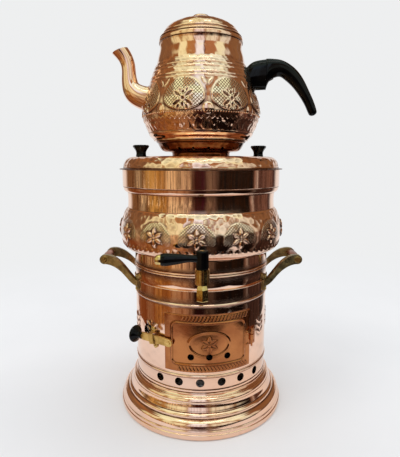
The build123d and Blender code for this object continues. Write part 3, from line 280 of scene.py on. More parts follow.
POT_NET, BELLY_NET, NET_HEIGHT = 8 * 14, 13 * 14, 3.8
copper = finish_of("polished_copper", copper_colour, Metallic=1.0, Roughness=copper_roughness,
                   Normal=copper_normal)
tinned = finish_of(
    "tinned_copper",
    shades(70.0, 5.0, 0.35, 0.7, (0.66, 0.64, 0.61), (0.44, 0.40, 0.36)),
    Metallic=1.0,
    Roughness=drift(90.0, 4.0, 0.3, 0.7, 0.28, 0.5),
    Normal=grain(120.0, 4.0, 0.0003),
)

# %% [markdown]
# The door is heated from behind, so its copper has turned a browner, duller orange than the polished wall's.
# Its hollows are darkened, as tarnish and painted shade.

# %% Heated copper
heated_copper = finish_of(
    "heated_copper",
    # Hollows are darkened, as tarnish and painted shade.
    lambda tree: tree.mix(
        tree.mark("hollow"),
        tree.mix(tree.noise(28.0, 4.0).ease(0.35, 0.7), (0.52, 0.20, 0.07), (0.34, 0.11, 0.04)),
        (0.07, 0.02, 0.01),
    ),
    Metallic=1.0,
    Roughness=drift(26.0, 4.0, 0.35, 0.75, 0.10, 0.24),
    Normal=grain(40.0, 4.0, 0.0003),
)

# %% [markdown]
# The tap is yellow brass, polished but handled, and the bolt with its strap is the same brass left satin. The
# arms of the side handles are brass as it came from the mould, brown with age, bright only on the edges that
# hands rub. Their grips are copper that hands have browned.

# %% Brass
def brass_colour(tree):
    cloud = tree.noise(70.0, 4.0).ease(0.35, 0.7)
    metal = tree.mix(cloud, (0.74, 0.55, 0.23), (0.50, 0.34, 0.12))
    return tree.mix(tree.mark("rubbed"), metal, (0.92, 0.80, 0.50))


grip_copper = finish_of(
    "grip_copper",
    shades(60.0, 4.0, 0.3, 0.7, (0.46, 0.17, 0.09), (0.22, 0.07, 0.035), stretch=(1, 0.25, 1)),
    Metallic=1.0,
    Roughness=drift(70.0, 4.0, 0.3, 0.75, 0.24, 0.42),
    Normal=grain(90.0, 3.0, 0.0003, stretch=(1, 0.3, 1)),
)
brass = finish_of(
    "polished_brass",
    brass_colour,
    Metallic=1.0,
    Roughness=drift(90.0, 4.0, 0.3, 0.75, 0.08, 0.22),
    Normal=grain(260.0, 3.0, 0.00012),
)


def aged_brass_colour(tree):
    patina = tree.noise(85.0, 6.0, roughness=0.65).ease(0.36, 0.66)
    brown = tree.mix(patina, (0.44, 0.32, 0.14), (0.13, 0.085, 0.035))
    return tree.mix(tree.mark("rubbed") * 0.8, brown, (0.70, 0.55, 0.28))


satin_brass = finish_of(
    "satin_brass",
    shades(90.0, 5.0, 0.35, 0.7, (0.76, 0.50, 0.16), (0.46, 0.27, 0.07)),
    Metallic=0.8,
    Roughness=drift(120.0, 4.0, 0.3, 0.7, 0.26, 0.42),
    Normal=grain(240.0, 3.0, 0.0002),
)
aged_brass = finish_of(
    "aged_brass",
    aged_brass_colour,
    Metallic=1.0,
    Roughness=drift(120.0, 5.0, 0.3, 0.7, 0.26, 0.48),
    Normal=grain(220.0, 4.0, 0.0003),
)

# %% [markdown]
# The horn, the knobs, the tap's lever and the bolt's knob are black bakelite: deep gloss with hairline
# scuffs. Iron, steel and the rubber washer are inside or small, and each still has its own grain.

# %% Bakelite, iron, steel, rubber
bakelite = finish_of(
    "black_bakelite",
    shades(40.0, 4.0, 0.4, 0.8, (0.001, 0.001, 0.0012), (0.003, 0.0028, 0.0028)),
    Roughness=drift(55.0, 5.0, 0.35, 0.75, 0.04, 0.13),
    Normal=grain(60.0, 3.0, 0.0002),
    **{"Specular IOR Level": 0.16},
)
iron = finish_of(
    "sooty_iron",
    shades(120.0, 6.0, 0.35, 0.7, (0.05, 0.045, 0.04), (0.14, 0.11, 0.09)),
    Metallic=0.6,
    Roughness=drift(150.0, 5.0, 0.3, 0.7, 0.55, 0.85),
    Normal=grain(300.0, 5.0, 0.0006),
)
steel = finish_of(
    "plain_steel",
    shades(90.0, 4.0, 0.4, 0.7, (0.60, 0.60, 0.60), (0.42, 0.41, 0.40)),
    Metallic=1.0,
    Roughness=drift(110.0, 4.0, 0.3, 0.7, 0.25, 0.45),
)
rubber = finish_of(
    "washer_rubber",
    lambda tree: tree.mix(tree.noise(200.0, 4.0), (0.03, 0.03, 0.03), (0.07, 0.065, 0.06)),
    Roughness=0.8,
)
FINISHES = {
    "copper": copper,
    "copper_inside": tinned,
    "heated": heated_copper,
    "grip": grip_copper,
    "brass": brass,
    "satin": satin_brass,
    "aged_brass": aged_brass,
    "bakelite": bakelite,
    "iron": iron,
    "steel": steel,
    "washer": rubber,
}
node_slots = {part["node"]: part["material_slot"] for part in frame["record"]["subparts"]}
for node, thing in frame["nodes"].items():
    for slot in thing.material_slots:
        slot.material = FINISHES[node_slots[node]]
print("finishes", sorted(FINISHES))

# %% [markdown]
# Every new mesh goes through one helper. It takes points in millimetres and faces, merges poles, shades the
# mesh smooth up to a crease angle, gives it the finish of the CAD node that it stands for, puts it on that
# node's body and hides that node.

# %% Meshes from points and faces
node_body = {node: body for body, names in frame["record"]["behaviour"]["bodies"].items() for node in names}


@contextmanager
def edited(mesh):
    """Opens a mesh for editing and writes it back."""
    work = bmesh.new()
    work.from_mesh(mesh)
    yield work
    work.to_mesh(mesh)
    work.free()


def piece(name, points, faces, node, marks=None, crease=38, dress=True):
    """A new object from points in millimetres, with numbers on its points."""
    mesh = bpy.data.meshes.new(name)
    mesh.from_pydata((np.asarray(points, float) * MM).tolist(), [], [tuple(map(int, face)) for face in faces])
    for mark, values in (marks or {}).items():
        layer = mesh.attributes.new(mark, "FLOAT", "POINT")
        layer.data.foreach_set("value", np.asarray(values, dtype=np.float32))
    with edited(mesh) as work:
        bmesh.ops.remove_doubles(work, verts=work.verts, dist=1e-6)
        bmesh.ops.dissolve_degenerate(work, edges=work.edges, dist=1e-7)
    thing = placed(name, mesh)
    return dressed(thing, node, crease) if dress else thing


def dressed(thing, node, crease=38, replaces=True, finish=None):
    """Smooth shading, finish, body and a hidden CAD node for a piece that belongs with that CAD node."""
    mesh = thing.data
    mesh.shade_smooth()
    mesh.set_sharp_from_angle(angle=math.radians(crease))
    slot = node_slots[node]
    mesh.materials.clear()
    mesh.materials.append(FINISHES[finish or slot])
    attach(thing, node_body[node])
    if replaces:
        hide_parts(node)
    return thing

# %% [markdown]
# Spun copper follows a template, so each shell is a profile turned about the axis. A profile is a list of
# (radius, height) points. Smooth stretches pass through a few points on a cubic spline, because a mirror
# shows every kink.

# %% Profiles
def spline(points, count):
    """Natural cubic spline through points, at count + 1 places."""
    points = np.asarray(points, float)
    lengths = np.linalg.norm(np.diff(points, axis=0), axis=1)
    t = np.concatenate([[0], np.cumsum(lengths)])
    n = len(points)
    matrix, right = np.zeros((n, n)), np.zeros((n, points.shape[1]))
    matrix[0, 0] = matrix[-1, -1] = 1
    for k in range(1, n - 1):
        before, after = t[k] - t[k - 1], t[k + 1] - t[k]
        matrix[k, k - 1 : k + 2] = before, 2 * (before + after), after
        right[k] = 6 * ((points[k + 1] - points[k]) / after - (points[k] - points[k - 1]) / before)
    bend = np.linalg.solve(matrix, right)
    made = []
    for x in np.linspace(0, t[-1], count + 1):
        k = min(np.searchsorted(t, x, side="right") - 1, n - 2)
        h, a, b = t[k + 1] - t[k], t[k + 1] - x, x - t[k]
        curve = (bend[k] * a**3 + bend[k + 1] * b**3) / (6 * h)
        curve = curve + (points[k] / h - bend[k] * h / 6) * a
        made.append(curve + (points[k + 1] / h - bend[k + 1] * h / 6) * b)
    return np.array(made)


def arc(start, end, swell, count=8):
    """Bow between two points. A positive swell bulges to the right of the run, outwards on a run upwards."""
    start, end = np.asarray(start, float), np.asarray(end, float)
    run = end - start
    side = np.array([run[1], -run[0]]) / np.linalg.norm(run)
    t = np.linspace(0, 1, count + 1)[:, None]
    return start + run * t + side * swell * 4 * t * (1 - t)


def profile(*parts):
    """Joins points and runs of points into one line without doubles."""
    joined = []
    for part in parts:
        for point in np.atleast_2d(np.asarray(part, float)):
            if not joined or np.linalg.norm(point - joined[-1]) > 1e-4:
                joined.append(point)
    return np.array(joined)


def inwards(line, thickness):
    """The line moved to the left of its run, which is inwards on a run upwards."""
    step = np.gradient(line, axis=0)
    step /= np.linalg.norm(step, axis=1)[:, None]
    return line + np.column_stack([-step[:, 1], step[:, 0]]) * thickness


def creases(line, reach=1.4, closed=False):
    """How deep each point of a section lies in a groove or corner, 0 to 1. Tarnish stays there, and shade is
    painted there.
    """
    line = np.asarray(line, float)
    loop = np.vstack([line, line[:1]]) if closed else line
    places = np.concatenate([[0], np.cumsum(np.linalg.norm(np.diff(loop, axis=0), axis=1))])
    whole, here = places[-1], places[: len(line)]
    before, after = here - reach, here + reach
    if closed:
        before, after = before % whole, after % whole
    chord = [np.column_stack([np.interp(at, places, loop[:, k]) for k in (0, 1)]) for at in (before, after)]
    run = chord[1] - chord[0]
    side = np.column_stack([run[:, 1], -run[:, 0]]) / (np.linalg.norm(run, axis=1)[:, None] + 1e-9)
    depth = (((chord[0] + chord[1]) / 2 - line) * side).sum(axis=1)
    return np.clip((depth - 0.06) / 0.3, 0, 1)


def turned(name, line, node, count=240, marks=None, **rest):
    """A closed section turned about the axis. The section runs up outside and down inside."""
    line = np.asarray(line, float)
    angles, n = np.linspace(0, 2 * math.pi, count, endpoint=False), len(line)
    # Grooves and corners of the section are marked, for tarnish and painted shade.
    marks = {"hollow": np.tile(creases(line, closed=True), count), **(marks or {})}
    points = np.empty((count, n, 3))
    points[:, :, 0] = np.sin(angles)[:, None] * line[:, 0]
    points[:, :, 1] = -np.cos(angles)[:, None] * line[:, 0]
    points[:, :, 2] = line[:, 1]
    return piece(name, points.reshape(-1, 3), around(count, n), node, marks, **rest)


def around(count, n, closed_line=True):
    """Quads of a grid of count angles and n places on the line, facing outwards."""
    i, j = np.meshgrid(np.arange(count), np.arange(n if closed_line else n - 1), indexing="ij")
    after_i, after_j = (i + 1) % count, (j + 1) % n
    corners = [i * n + j, after_i * n + j, after_i * n + after_j, i * n + after_j]
    return np.stack(corners, axis=-1).reshape(-1, 4)

# %% [markdown]
# The wide foot stands on a rolled ring. The skirt above it is spun in one piece: a flare, a bright bead, a
# hollow that reflects the dark of the room, and a shoulder. Each grooved line is a step of half a millimetre,
# and that is enough, because a mirror turns a small step into a sharp dark line. The finish also darkens
# each groove, as tarnish and painted shade.

# %% Foot and skirt
def groove(radius, height, depth=0.45, width=0.8):
    """Three points of a fine line cut into a wall."""
    return [(radius, height - width / 2), (radius - depth, height), (radius - 0.1, height + width / 2)]


turned(
    "foot_roll",
    profile((115.4, 0.2), (118.2, 0.0), arc((118.4, 0.0), (120.7, 2.6), 0.7, 6), (120.75, 5.6),
            arc((120.7, 6.4), (119.4, 8.1), 0.35, 5), (115.4, 8.1)),
    "foot_ring",
)
skirt = profile(
    (119.6, 8.3), (119.5, 9.6), arc((119.4, 9.8), (118.6, 12.3), 0.25, 5),
    spline([(118.3, 13.2), (117.3, 16.6), (115.9, 20.0), (113.2, 22.6), (111.0, 23.7)], 16),
    groove(110.5, 24.2, 0.3),
    arc((110.2, 24.7), (107.3, 29.8), 0.9, 10), groove(106.7, 30.3, 0.3),
    spline([(106.5, 30.9), (105.6, 33.4), (104.4, 36.4), (103.6, 39.2), (103.2, 41.0)], 14),
    arc((102.9, 41.3), (100.7, 46.6), 0.5, 9), groove(100.0, 47.3, 0.3),
    spline([(99.2, 47.8), (98.0, 48.8), (97.0, 50.0)], 6),
)
turned("skirt_shell", profile(skirt, inwards(skirt, SHEET)[::-1]), "base_skirt")
print("skirt profile", len(skirt), "points")

# %% [markdown]
# The draught holes are punched in a row round the vent band. One cutter, instanced along an arc by Geometry
# Nodes, is taken away from the wall with a Mesh Boolean, so that each hole is a real one with a sheet's
# thickness.

# %% Vent band
def evaluated(thing, modifier):
    """The plain mesh that a modifier makes."""
    thing.modifiers.update()
    seen = thing.evaluated_get(bpy.context.evaluated_depsgraph_get())
    mesh = bpy.data.meshes.new_from_object(seen)
    thing.modifiers.remove(modifier)
    thing.data = mesh
    return thing


def node_tree(name, inputs):
    """An empty geometry tree with its group sockets. Every input has a name and a default."""
    group = bpy.data.node_groups.new(name, "GeometryNodeTree")
    group.interface.new_socket("Geometry", in_out="INPUT", socket_type="NodeSocketGeometry")
    kinds = {int: "NodeSocketInt", float: "NodeSocketFloat"}
    for key, value in inputs.items():
        made = group.interface.new_socket(key, in_out="INPUT", socket_type=kinds[type(value)])
        made.default_value = value
    group.interface.new_socket("Geometry", in_out="OUTPUT", socket_type="NodeSocketGeometry")
    tree = Tree(group)
    source = group.nodes.new("NodeGroupInput")
    sockets = {socket.name: Value(tree, socket) for socket in source.outputs if socket.name}
    return group, tree, sockets


def close_tree(tree, geometry, material):
    """Realize Instances, Set Material and the group's output."""
    real = tree.node("GeometryNodeRealizeInstances", {}, {0: geometry})
    done = tree.node("GeometryNodeSetMaterial", {}, {"Geometry": real, "Material": material})
    tree.links.new(done.socket, tree.nodes.new("NodeGroupOutput").inputs[0])


def with_tree(thing, group, **inputs):
    """Runs a geometry tree on an object and keeps the result as a plain mesh."""
    modifier = thing.modifiers.new(group.name, "NODES")
    modifier.node_group = group
    names = {item.name: item.identifier for item in group.interface.items_tree if item.in_out == "INPUT"}
    for key, value in inputs.items():
        modifier[names[key]] = value
    return evaluated(thing, modifier)


def ring_places(tree, sockets):
    """Points round the axis, from First angle at equal Pitch, and the turn that faces each outwards."""
    count, pitch, first = sockets["Count"], sockets["Pitch"], sockets["First angle"]
    index = tree.node("GeometryNodeInputIndex")
    angle = (index * pitch + first) * (math.pi / 180)
    radius, height = sockets["Radius"] * MM, sockets["Height"] * MM
    x = angle.maths("SINE") * radius
    y = angle.maths("COSINE") * radius * -1
    spot = tree.node("ShaderNodeCombineXYZ", {}, {"X": x, "Y": y, "Z": height})
    points = tree.node("GeometryNodePoints", {}, {"Count": count, "Position": spot})
    return points, tree.node("ShaderNodeCombineXYZ", {}, {"X": 0.0, "Y": 0.0, "Z": angle})


VENTS, VENT_PITCH, VENT_TURN = 6, 17.2, 8.0
PLACES = {"Count": VENTS, "Pitch": VENT_PITCH, "First angle": -35.0, "Radius": 96.0, "Height": 66.6}
punch, tree, sockets = node_tree("punched_row", {**PLACES, "Hole radius": 5.7})
points, turn = ring_places(tree, sockets)
cutter = tree.node(
    "GeometryNodeMeshCylinder",
    {"fill_type": "NGON"},
    {"Vertices": 40, "Radius": sockets["Hole radius"] * MM, "Depth": 12 * MM},
)
laid = tree.node("GeometryNodeTransform", {}, {0: cutter, "Rotation": (math.pi / 2, 0, 0)})
cutters = tree.node("GeometryNodeInstanceOnPoints", {},
                    {"Points": points, "Instance": laid, "Rotation": turn})
cutters = tree.node("GeometryNodeRealizeInstances", {}, {0: cutters})
cut = {"Mesh 1": sockets["Geometry"], "Mesh 2": cutters}
holed = tree.node("GeometryNodeMeshBoolean", {"operation": "DIFFERENCE", "solver": "EXACT"}, cut)
close_tree(tree, holed, copper)

band = profile(
    (97.0, 50.1), arc((97.1, 50.4), (96.9, 52.3), 0.35, 5), groove(96.5, 52.8, 0.35),
    arc((96.6, 53.4), (96.6, 56.8), 0.3, 6), groove(96.25, 57.2, 0.3),
    (96.2, 58.0), (96.2, 65.0), (96.2, 72.6), arc((96.3, 73.9), (96.3, 77.2), 1.0, 10), (96.2, 77.6),
    (96.2, 78.4),
    (95.7, 78.9),
)
band = profile(band, (95.0, 78.9), (95.0, 65.0), (95.0, 50.1))
vent_band = turned("vent_band_shell", band, "vent_band", 360, dress=False)
for middle in (VENT_TURN, VENT_TURN + 180):
    with_tree(vent_band, punch, **{"First angle": middle - (VENTS - 1) / 2 * VENT_PITCH})
dressed(vent_band, "vent_band")
print("vent band", len(vent_band.data.polygons), "faces after punching")

# %% [markdown]
# Raised ornament is hammered from behind over a stamp. Here it is a height in millimetres for every angle and
# level, added along the wall's normal on a fine grid. The same heights say where tarnish stays and where
# shade
# is painted: wherever a point lies lower than its neighbours' mean, a mark on the points grows, and the
# copper finish darkens there, as tarnish and painted shade.

# %% Embossing
def wrapped(angle, middle, pitch):
    """Angle from the nearest of the places middle + k * pitch."""
    return (angle - middle + pitch / 2) % pitch - pitch / 2


def leaf(u, v, x, y, turn, length, width, height, vein=0.25):
    """A pointed leaf that starts at (x, y), as heights. Turn is its direction in degrees."""
    c, s = math.cos(math.radians(turn)), math.sin(math.radians(turn))
    along, across = ((u - x) * c + (v - y) * s) / length, (v - y) * c - (u - x) * s
    half = width * np.sin(np.pi * np.clip(along, 0.0, 1.0) ** 0.85) ** 0.75 + 1e-6
    dome = np.clip(1 - (across / half) ** 2, 0, 1) ** 0.6
    inside = (along > 0) & (along < 1)
    return np.where(inside, height * dome * (1 - vein * np.exp(-((across / (0.22 * width)) ** 2))), 0.0)


def boss(u, v, radius, height):
    return height * np.clip(1 - (u**2 + v**2) / radius**2, 0, 1) ** 0.6


def ridge(distance, width, height):
    return height * np.exp(-((distance / width) ** 2))


def arch(u, v, half, rise, drop):
    """Distance from the outline of a pointed arch with a round foot, negative inside."""
    radius = (half**2 + rise**2) / (2 * half)
    upper = np.hypot(np.abs(u) + radius - half, v) - radius
    return np.where(v > 0, upper, np.hypot(u, v * half / drop) - half)


def hammered(a, z, depth):
    """Low uneven dents, the same on every run."""
    waves = ((3, 0.21, 0.4), (8, 0.33, 1.9), (13, -0.27, 3.1), (21, 0.52, 0.8), (34, -0.45, 5.0),
             (55, 0.61, 2.2))
    heights = sum(np.sin(np.radians(a) * n + z * k + p) / (1 + 0.2 * i) for i, (n, k, p) in enumerate(waves))
    return depth * heights / 3


def dents(a, z, radius, low, high, size, depth, count, seed):
    """Marks of a round hammer at uneven places of a band."""
    chance, heights = np.random.default_rng(seed), np.zeros_like(z)
    spread = [chance.uniform(start, end, count) for start, end in ((-180, 180), (low, high), (0.7, 1.3))]
    for turn, level, wide in zip(*spread):
        u = wrapped(a, turn, 360) * radius * PI_180
        dent = np.clip(1 - (u**2 + (z - level) ** 2) / (size * wide) ** 2, 0, 1)
        heights = np.minimum(heights, -depth * wide * dent)
    return heights


def hollows(heights, reach=4):
    mean = heights.copy()
    for axis in (0, 1):
        mean = sum(np.roll(mean, shift, axis) for shift in range(-reach, reach + 1)) / (2 * reach + 1)
    return np.clip((mean - heights) / 0.45, 0, 1)


def embossed(name, wall, inner, relief, node, count, tinned=0.0, net=None, painted_shade=0.0, dress=True):
    """Spun shell whose outer face carries a relief. The net says where the cut lines of a net lie on it."""
    wall, inner = np.asarray(wall, float), np.asarray(inner, float)
    angles = np.arange(count) * 2 * math.pi / count
    step = np.gradient(wall, axis=0)
    step /= np.linalg.norm(step, axis=1)[:, None]
    a, z = np.meshgrid(np.degrees(angles), wall[:, 1], indexing="ij")
    heights = relief((a + 180) % 360 - 180, z)
    radius, level = wall[:, 0] + heights * step[:, 1], wall[:, 1] - heights * step[:, 0]
    radius = np.concatenate([radius, np.tile(inner[:, 0], (count, 1))], axis=1)
    level = np.concatenate([level, np.tile(inner[:, 1], (count, 1))], axis=1)
    points = np.stack([np.sin(angles)[:, None] * radius, -np.cos(angles)[:, None] * radius, level], axis=-1)
    lining = np.tile(np.r_[np.zeros(len(wall)), np.full(len(inner), tinned)], count)
    # Hollows of the relief and grooves of the profile are marked, for tarnish and painted shade.
    # What a call passes in as extra darkening is painted shade only.
    low = np.clip(np.maximum(hollows(heights), creases(wall)[None, :]) + painted_shade, 0, 1)
    rest = np.zeros((count, len(inner)))
    n = points.shape[1]
    marks = {"hollow": np.concatenate([low, rest], axis=1).ravel(), "inside": lining}
    if net:
        marks["net"] = np.concatenate([net((a + 180) % 360 - 180, z), rest], axis=1).ravel()
    return piece(name, points.reshape(-1, 3), around(count, n), node, marks, crease=60, dress=dress)

# %% [markdown]
# The firebox wall is one plain cylinder with a bead above the door. Sprigs of leaves are stamped all the way
# round at door height. Behind the door it has its opening, cut here with a Boolean, so that the open door
# shows it.

# %% Firebox casing
def casing_relief(a, z):
    u, v = wrapped(a, DOOR_TURN + 52.2, 25.6) * WALL * PI_180, z - 128.5
    sprig = leaf(u, v, 0, -15, 90, 31, 2.6, 1.1)
    for height in (-12.0, -4.0, 4.0):
        for side in (-1, 1):
            sprig = np.maximum(sprig, leaf(u, v, side * 0.8, height, 90 - side * 48, 12.5, 2.5, 1.1))
    clear = np.clip((np.abs(wrapped(a, DOOR_TURN, 360)) - 38.5) / 1.5, 0, 1)
    return sprig * clear + hammered(a, z, 0.06)


def opening_cutter(name, width, height, corner, middle, turn, reach):
    """A rounded block that cuts an opening in a round wall."""
    outline = []
    for k, (sx, sz) in enumerate(((1, -1), (1, 1), (-1, 1), (-1, -1))):
        for t in np.linspace(k * 90 - 90, k * 90, 7):
            x = sx * (width / 2 - corner) + corner * math.cos(math.radians(t))
            z = sz * (height / 2 - corner) + corner * math.sin(math.radians(t))
            outline.append((x, z))
    c, s = math.cos(math.radians(turn)), math.sin(math.radians(turn))
    points = [(x * c + r * s, x * s - r * c, middle + z) for r in reach for x, z in outline]
    n = len(outline)
    faces = [[(k + 1) % n, k, k + n, (k + 1) % n + n] for k in range(n)]
    faces += [list(range(n)), list(range(2 * n - 1, n - 1, -1))]
    mesh = bpy.data.meshes.new(name)
    mesh.from_pydata((np.array(points) * MM).tolist(), [], faces)
    with edited(mesh) as work:
        bmesh.ops.recalc_face_normals(work, faces=work.faces)
    return placed(name, mesh)


def cut_by(thing, *cutters):
    """Takes cutters away from a mesh, one after another, and removes them."""
    for cutter in cutters:
        modifier = thing.modifiers.new("cut", "BOOLEAN")
        modifier.operation, modifier.object, modifier.solver = "DIFFERENCE", cutter, "EXACT"
        evaluated(thing, modifier)
        bpy.data.objects.remove(cutter)
    return thing


levels = [*np.arange(79.1, 110.0, 2.5), *np.arange(110.0, 147.5, 0.75), *np.arange(147.5, 170.5, 2.5)]
bead = arc((96.25, 170.9), (96.25, 174.2), 1.25, 8)
wall = profile((95.8, 79.05), [(WALL, z) for z in levels], bead, (WALL, 175), (WALL, 183), (WALL, 191.5))
inner = [(95.0, z) for z in np.linspace(191.5, 79.05, 16)]
casing = embossed("firebox_shell", wall, inner, casing_relief, "firebox_casing", 540, dress=False)
cut_by(casing, opening_cutter("window", 87.3, 54.0, 6.0, DOOR_MIDDLE, DOOR_TURN, (70, 110)))
dressed(casing, "firebox_casing", 60)
print("casing", len(casing.data.polygons), "faces")

# %% [markdown]
# The fire door is bent from thicker copper and embossed: a frame bead, two bands of slanted rope ribs, an
# oval and a six-petalled flower in outline, and three draught holes. The plate is a grid in arc length and
# height.

# %% Fire door
def door_relief(u, v):
    frame = np.maximum(np.abs(u) - 43.5, 0.0), np.maximum(np.abs(v) - 21.5, 0.0)
    bead = np.hypot(*frame) - 7.0
    heights = ridge(bead, 1.05, 1.25)
    heights = np.maximum(heights, ridge(v - 28.6, 1.1, 1.5) * (np.abs(u) < 45))
    for low, high, lean, start, end in ((30.9, 38.0, -0.5, -37, 57), (-38.4, -30.9, 0.55, -44, 58)):
        rope = np.clip(np.cos((u + (v - low) * lean) * 2 * np.pi / 4.7), -0.3, 1) * 0.9
        edge = np.clip((v - low) / 1.3, 0, 1) * np.clip((high - v) / 1.3, 0, 1)
        edge *= np.clip((u - start) / 3, 0, 1) * np.clip((end - u) / 3, 0, 1)
        heights = heights + rope * edge
    oval = (np.hypot(u / 27.0, (v + 0.9) / 16.5) - 1) * 16.5
    heights = np.maximum(heights, ridge(oval, 1.0, 0.75))
    flower = np.zeros_like(u)
    for k in range(6):
        petal = leaf(u, v + 0.9, 0, 0, 90 + 60 * k, 12.4, 3.6, 1.0, 0.0)
        inside = leaf(u, v + 0.9, 0, 0, 90 + 60 * k, 12.4, 2.1, 1.0, 0.0)
        flower = np.maximum(flower, petal - 0.85 * inside)
    heights = np.maximum(heights, flower * 1.35)
    return np.maximum(heights, boss(u, v + 0.9, 2.5, 1.2))


def plate_faces(nu, nv):
    """Faces of a plate: a front grid of nu by nv points, a back grid behind it, and the edge between them."""
    i, j = np.meshgrid(np.arange(nu - 1), np.arange(nv - 1), indexing="ij")
    corners = [i * nv + j, (i + 1) * nv + j, (i + 1) * nv + j + 1, i * nv + j + 1]
    front = np.stack(corners, axis=-1).reshape(-1, 4)
    edge = [k * nv for k in range(nu)] + [(nu - 1) * nv + k for k in range(1, nv)]
    edge += [k * nv + nv - 1 for k in range(nu - 2, -1, -1)] + list(range(nv - 2, 0, -1))
    n, back = len(edge), nu * nv
    sides = [[edge[(k + 1) % n], edge[k], edge[k] + back, edge[(k + 1) % n] + back] for k in range(n)]
    return np.concatenate([front, front[:, ::-1] + back, np.array(sides)])


def door_mesh(name, half, height, radius, thickness, nu=300, nv=150):
    """Curved plate as a closed box: relief outside, plain inside."""
    u, v = np.meshgrid(np.linspace(-half, half, nu), np.linspace(-height / 2, height / 2, nv), indexing="ij")
    edge = np.minimum(half - np.abs(u), height / 2 - np.abs(v))
    rounded = np.clip(edge / 0.5, 0, 1)
    heights = door_relief(u, v) * np.clip((edge - 0.3) / 0.8, 0, 1)
    out = radius + heights - 0.35 * (1 - np.sqrt(np.clip(1 - (1 - rounded) ** 2, 0, 1)))
    angle = DOOR_TURN * PI_180 + u / radius
    layers = []
    for r in (out, np.full_like(out, radius - thickness)):
        layers.append(np.stack([np.sin(angle) * r, -np.cos(angle) * r, DOOR_MIDDLE + v], axis=-1))
    points = np.concatenate([layer.reshape(-1, 3) for layer in layers])
    # Hollows of the relief are marked, for tarnish and painted shade.
    marks = {"hollow": np.r_[hollows(heights, 3).ravel(), np.zeros(nu * nv)]}
    return piece(name, points, plate_faces(nu, nv), "fire_door", marks, dress=False)


def round_cutter(name, centre, axis, radius, depth, sides=40):
    """A cylinder to cut with."""
    mesh = bpy.data.meshes.new(name)
    size = {"radius1": radius * MM, "radius2": radius * MM, "depth": depth * MM}
    with edited(mesh) as work:
        bmesh.ops.create_cone(work, cap_ends=True, segments=sides, **size)
    turn = Vector((0, 0, 1)).rotation_difference(Vector(axis)).to_matrix().to_4x4()
    mesh.transform(Matrix.Translation(Vector(centre) * MM) @ turn)
    return placed(name, mesh)


door = door_mesh("door_plate", 35.6 * PI_180 * DOOR_RADIUS, 78.2, DOOR_RADIUS, 1.5)
cutters = []
for n in (-1, 0, 1):
    turn = (DOOR_TURN + n * 14.2) * PI_180
    out = (math.sin(turn), -math.cos(turn), 0)
    cutters.append(round_cutter(f"hole_{n + 2}", (98 * out[0], 98 * out[1], 103.7), out, 4.4, 20))
cutters.append(round_cutter("knuckle_room", (68.352, -73.813, DOOR_MIDDLE), (0, 0, 1), 3.3, 26))
dressed(cut_by(door, *cutters), "fire_door", 50, finish="heated")
print("door", len(door.data.polygons), "faces")

# %% [markdown]
# The vessel wall carries two beads, and the funnel between fire and water shows as one folded edge. The neck
# and the rim are plain spun rings, so that they mirror the room in long vertical streaks.

# %% Vessel, neck and rim
def shell(name, outer, inner, node, count=288):
    """Spun shell whose inner points are tinned."""
    outer, inner = np.asarray(outer, float), np.asarray(inner, float)
    marks = {"inside": np.tile(np.r_[np.zeros(len(outer)), np.ones(len(inner))], count)}
    return turned(name, np.concatenate([outer, inner]), node, count, marks)


funnel = profile((97.6, 191.65), arc((97.75, 191.7), (97.75, 192.75), 0.25, 4), (96, 192.8))
tube_side = [(89.5, 192.8), (38.6, 223.7), (38.2, 224.5), (38.2, 232.6)]
turned("vessel_funnel", profile(funnel, tube_side, (38.15, 232.7), (38.15, 223.4), (89, 191.65)),
       "vessel_floor")
beads = [arc((96.25, z), (96.25, z + 2.6), 1.1, 7) for z in (209.0, 212.0)]
outer = profile((96.0, 192.9), (WALL, 193.3), (WALL, 200), (WALL, 208.6), *beads, (WALL, 215.2), (WALL, 222),
                (WALL, 230.6), (95.9, 230.9))
shell("vessel_shell", outer, [(95, 230.9), (95, 212), (95, 192.9)], "vessel_wall")
neck = spline([(104.95, 292.2), (104.45, 298.0), (104.4, 305.0), (104.95, 312.4)], 14)
shell("neck_shell", neck, inwards(neck, SHEET)[::-1], "neck_band")
rim = profile((104.9, 312.6), (105.0, 313.3),
              spline([(105.4, 313.5), (108.2, 314.3), (109.8, 316.4), (110.6, 319.6)], 10),
              groove(110.8, 320.6, 0.4), (111.3, 321.6), (111.4, 330), (111.4, 338), (111.4, 343.7))
shell("rim_shell", rim, [(109, 343.7), (109, 341), (110.2, 340.8), (110.2, 321.5), (107.5, 315.4),
                         (103.8, 313.8), (103.8, 312.6)], "rim_band")
tube = profile((38.0, 225.0), (38.0, 300.0), (38.0, 366.6), (37.6, 367.0))
turned("fire_tube_shell", profile(tube, (36.8, 367.0), (36.5, 366.6), (36.5, 300.0), (36.5, 225.0)),
       "fire_tube", 160)
print("vessel, neck, rim and tube done")

# %% [markdown]
# The belly is the samovar's showpiece: thirteen pointed arches, each over a bold six-petalled flower. The
# arch's ground is cut as a fine net. Where the mark "net" is, the finish paints the net paler, as a painted
# highlight, and its cut lines dark, as tarnish and painted shade. A row of small leaves runs below, and the
# shoulder above is left from the hammer.

# %% Belly band
BELLY_REPEATS = 13


def belly_arch(a, z):
    u = wrapped(a, -2.6, 360 / BELLY_REPEATS) * 113.5 * PI_180
    return u, z - 262.0, arch(u, z - 258.0, 24.0, 23.0, 11.0)


def belly_petals(u, v, grow=0.0):
    flower = boss(u, v, 2.4 + grow, 1.4)
    for k in range(6):
        turn = 90 + 60 * k
        x, y = 2.0 * math.cos(math.radians(turn)), 2.0 * math.sin(math.radians(turn))
        flower = np.maximum(flower, leaf(u, v, x, y, turn, 10.8 + grow, 2.8 + grow, 2.4, 0.5))
    return flower


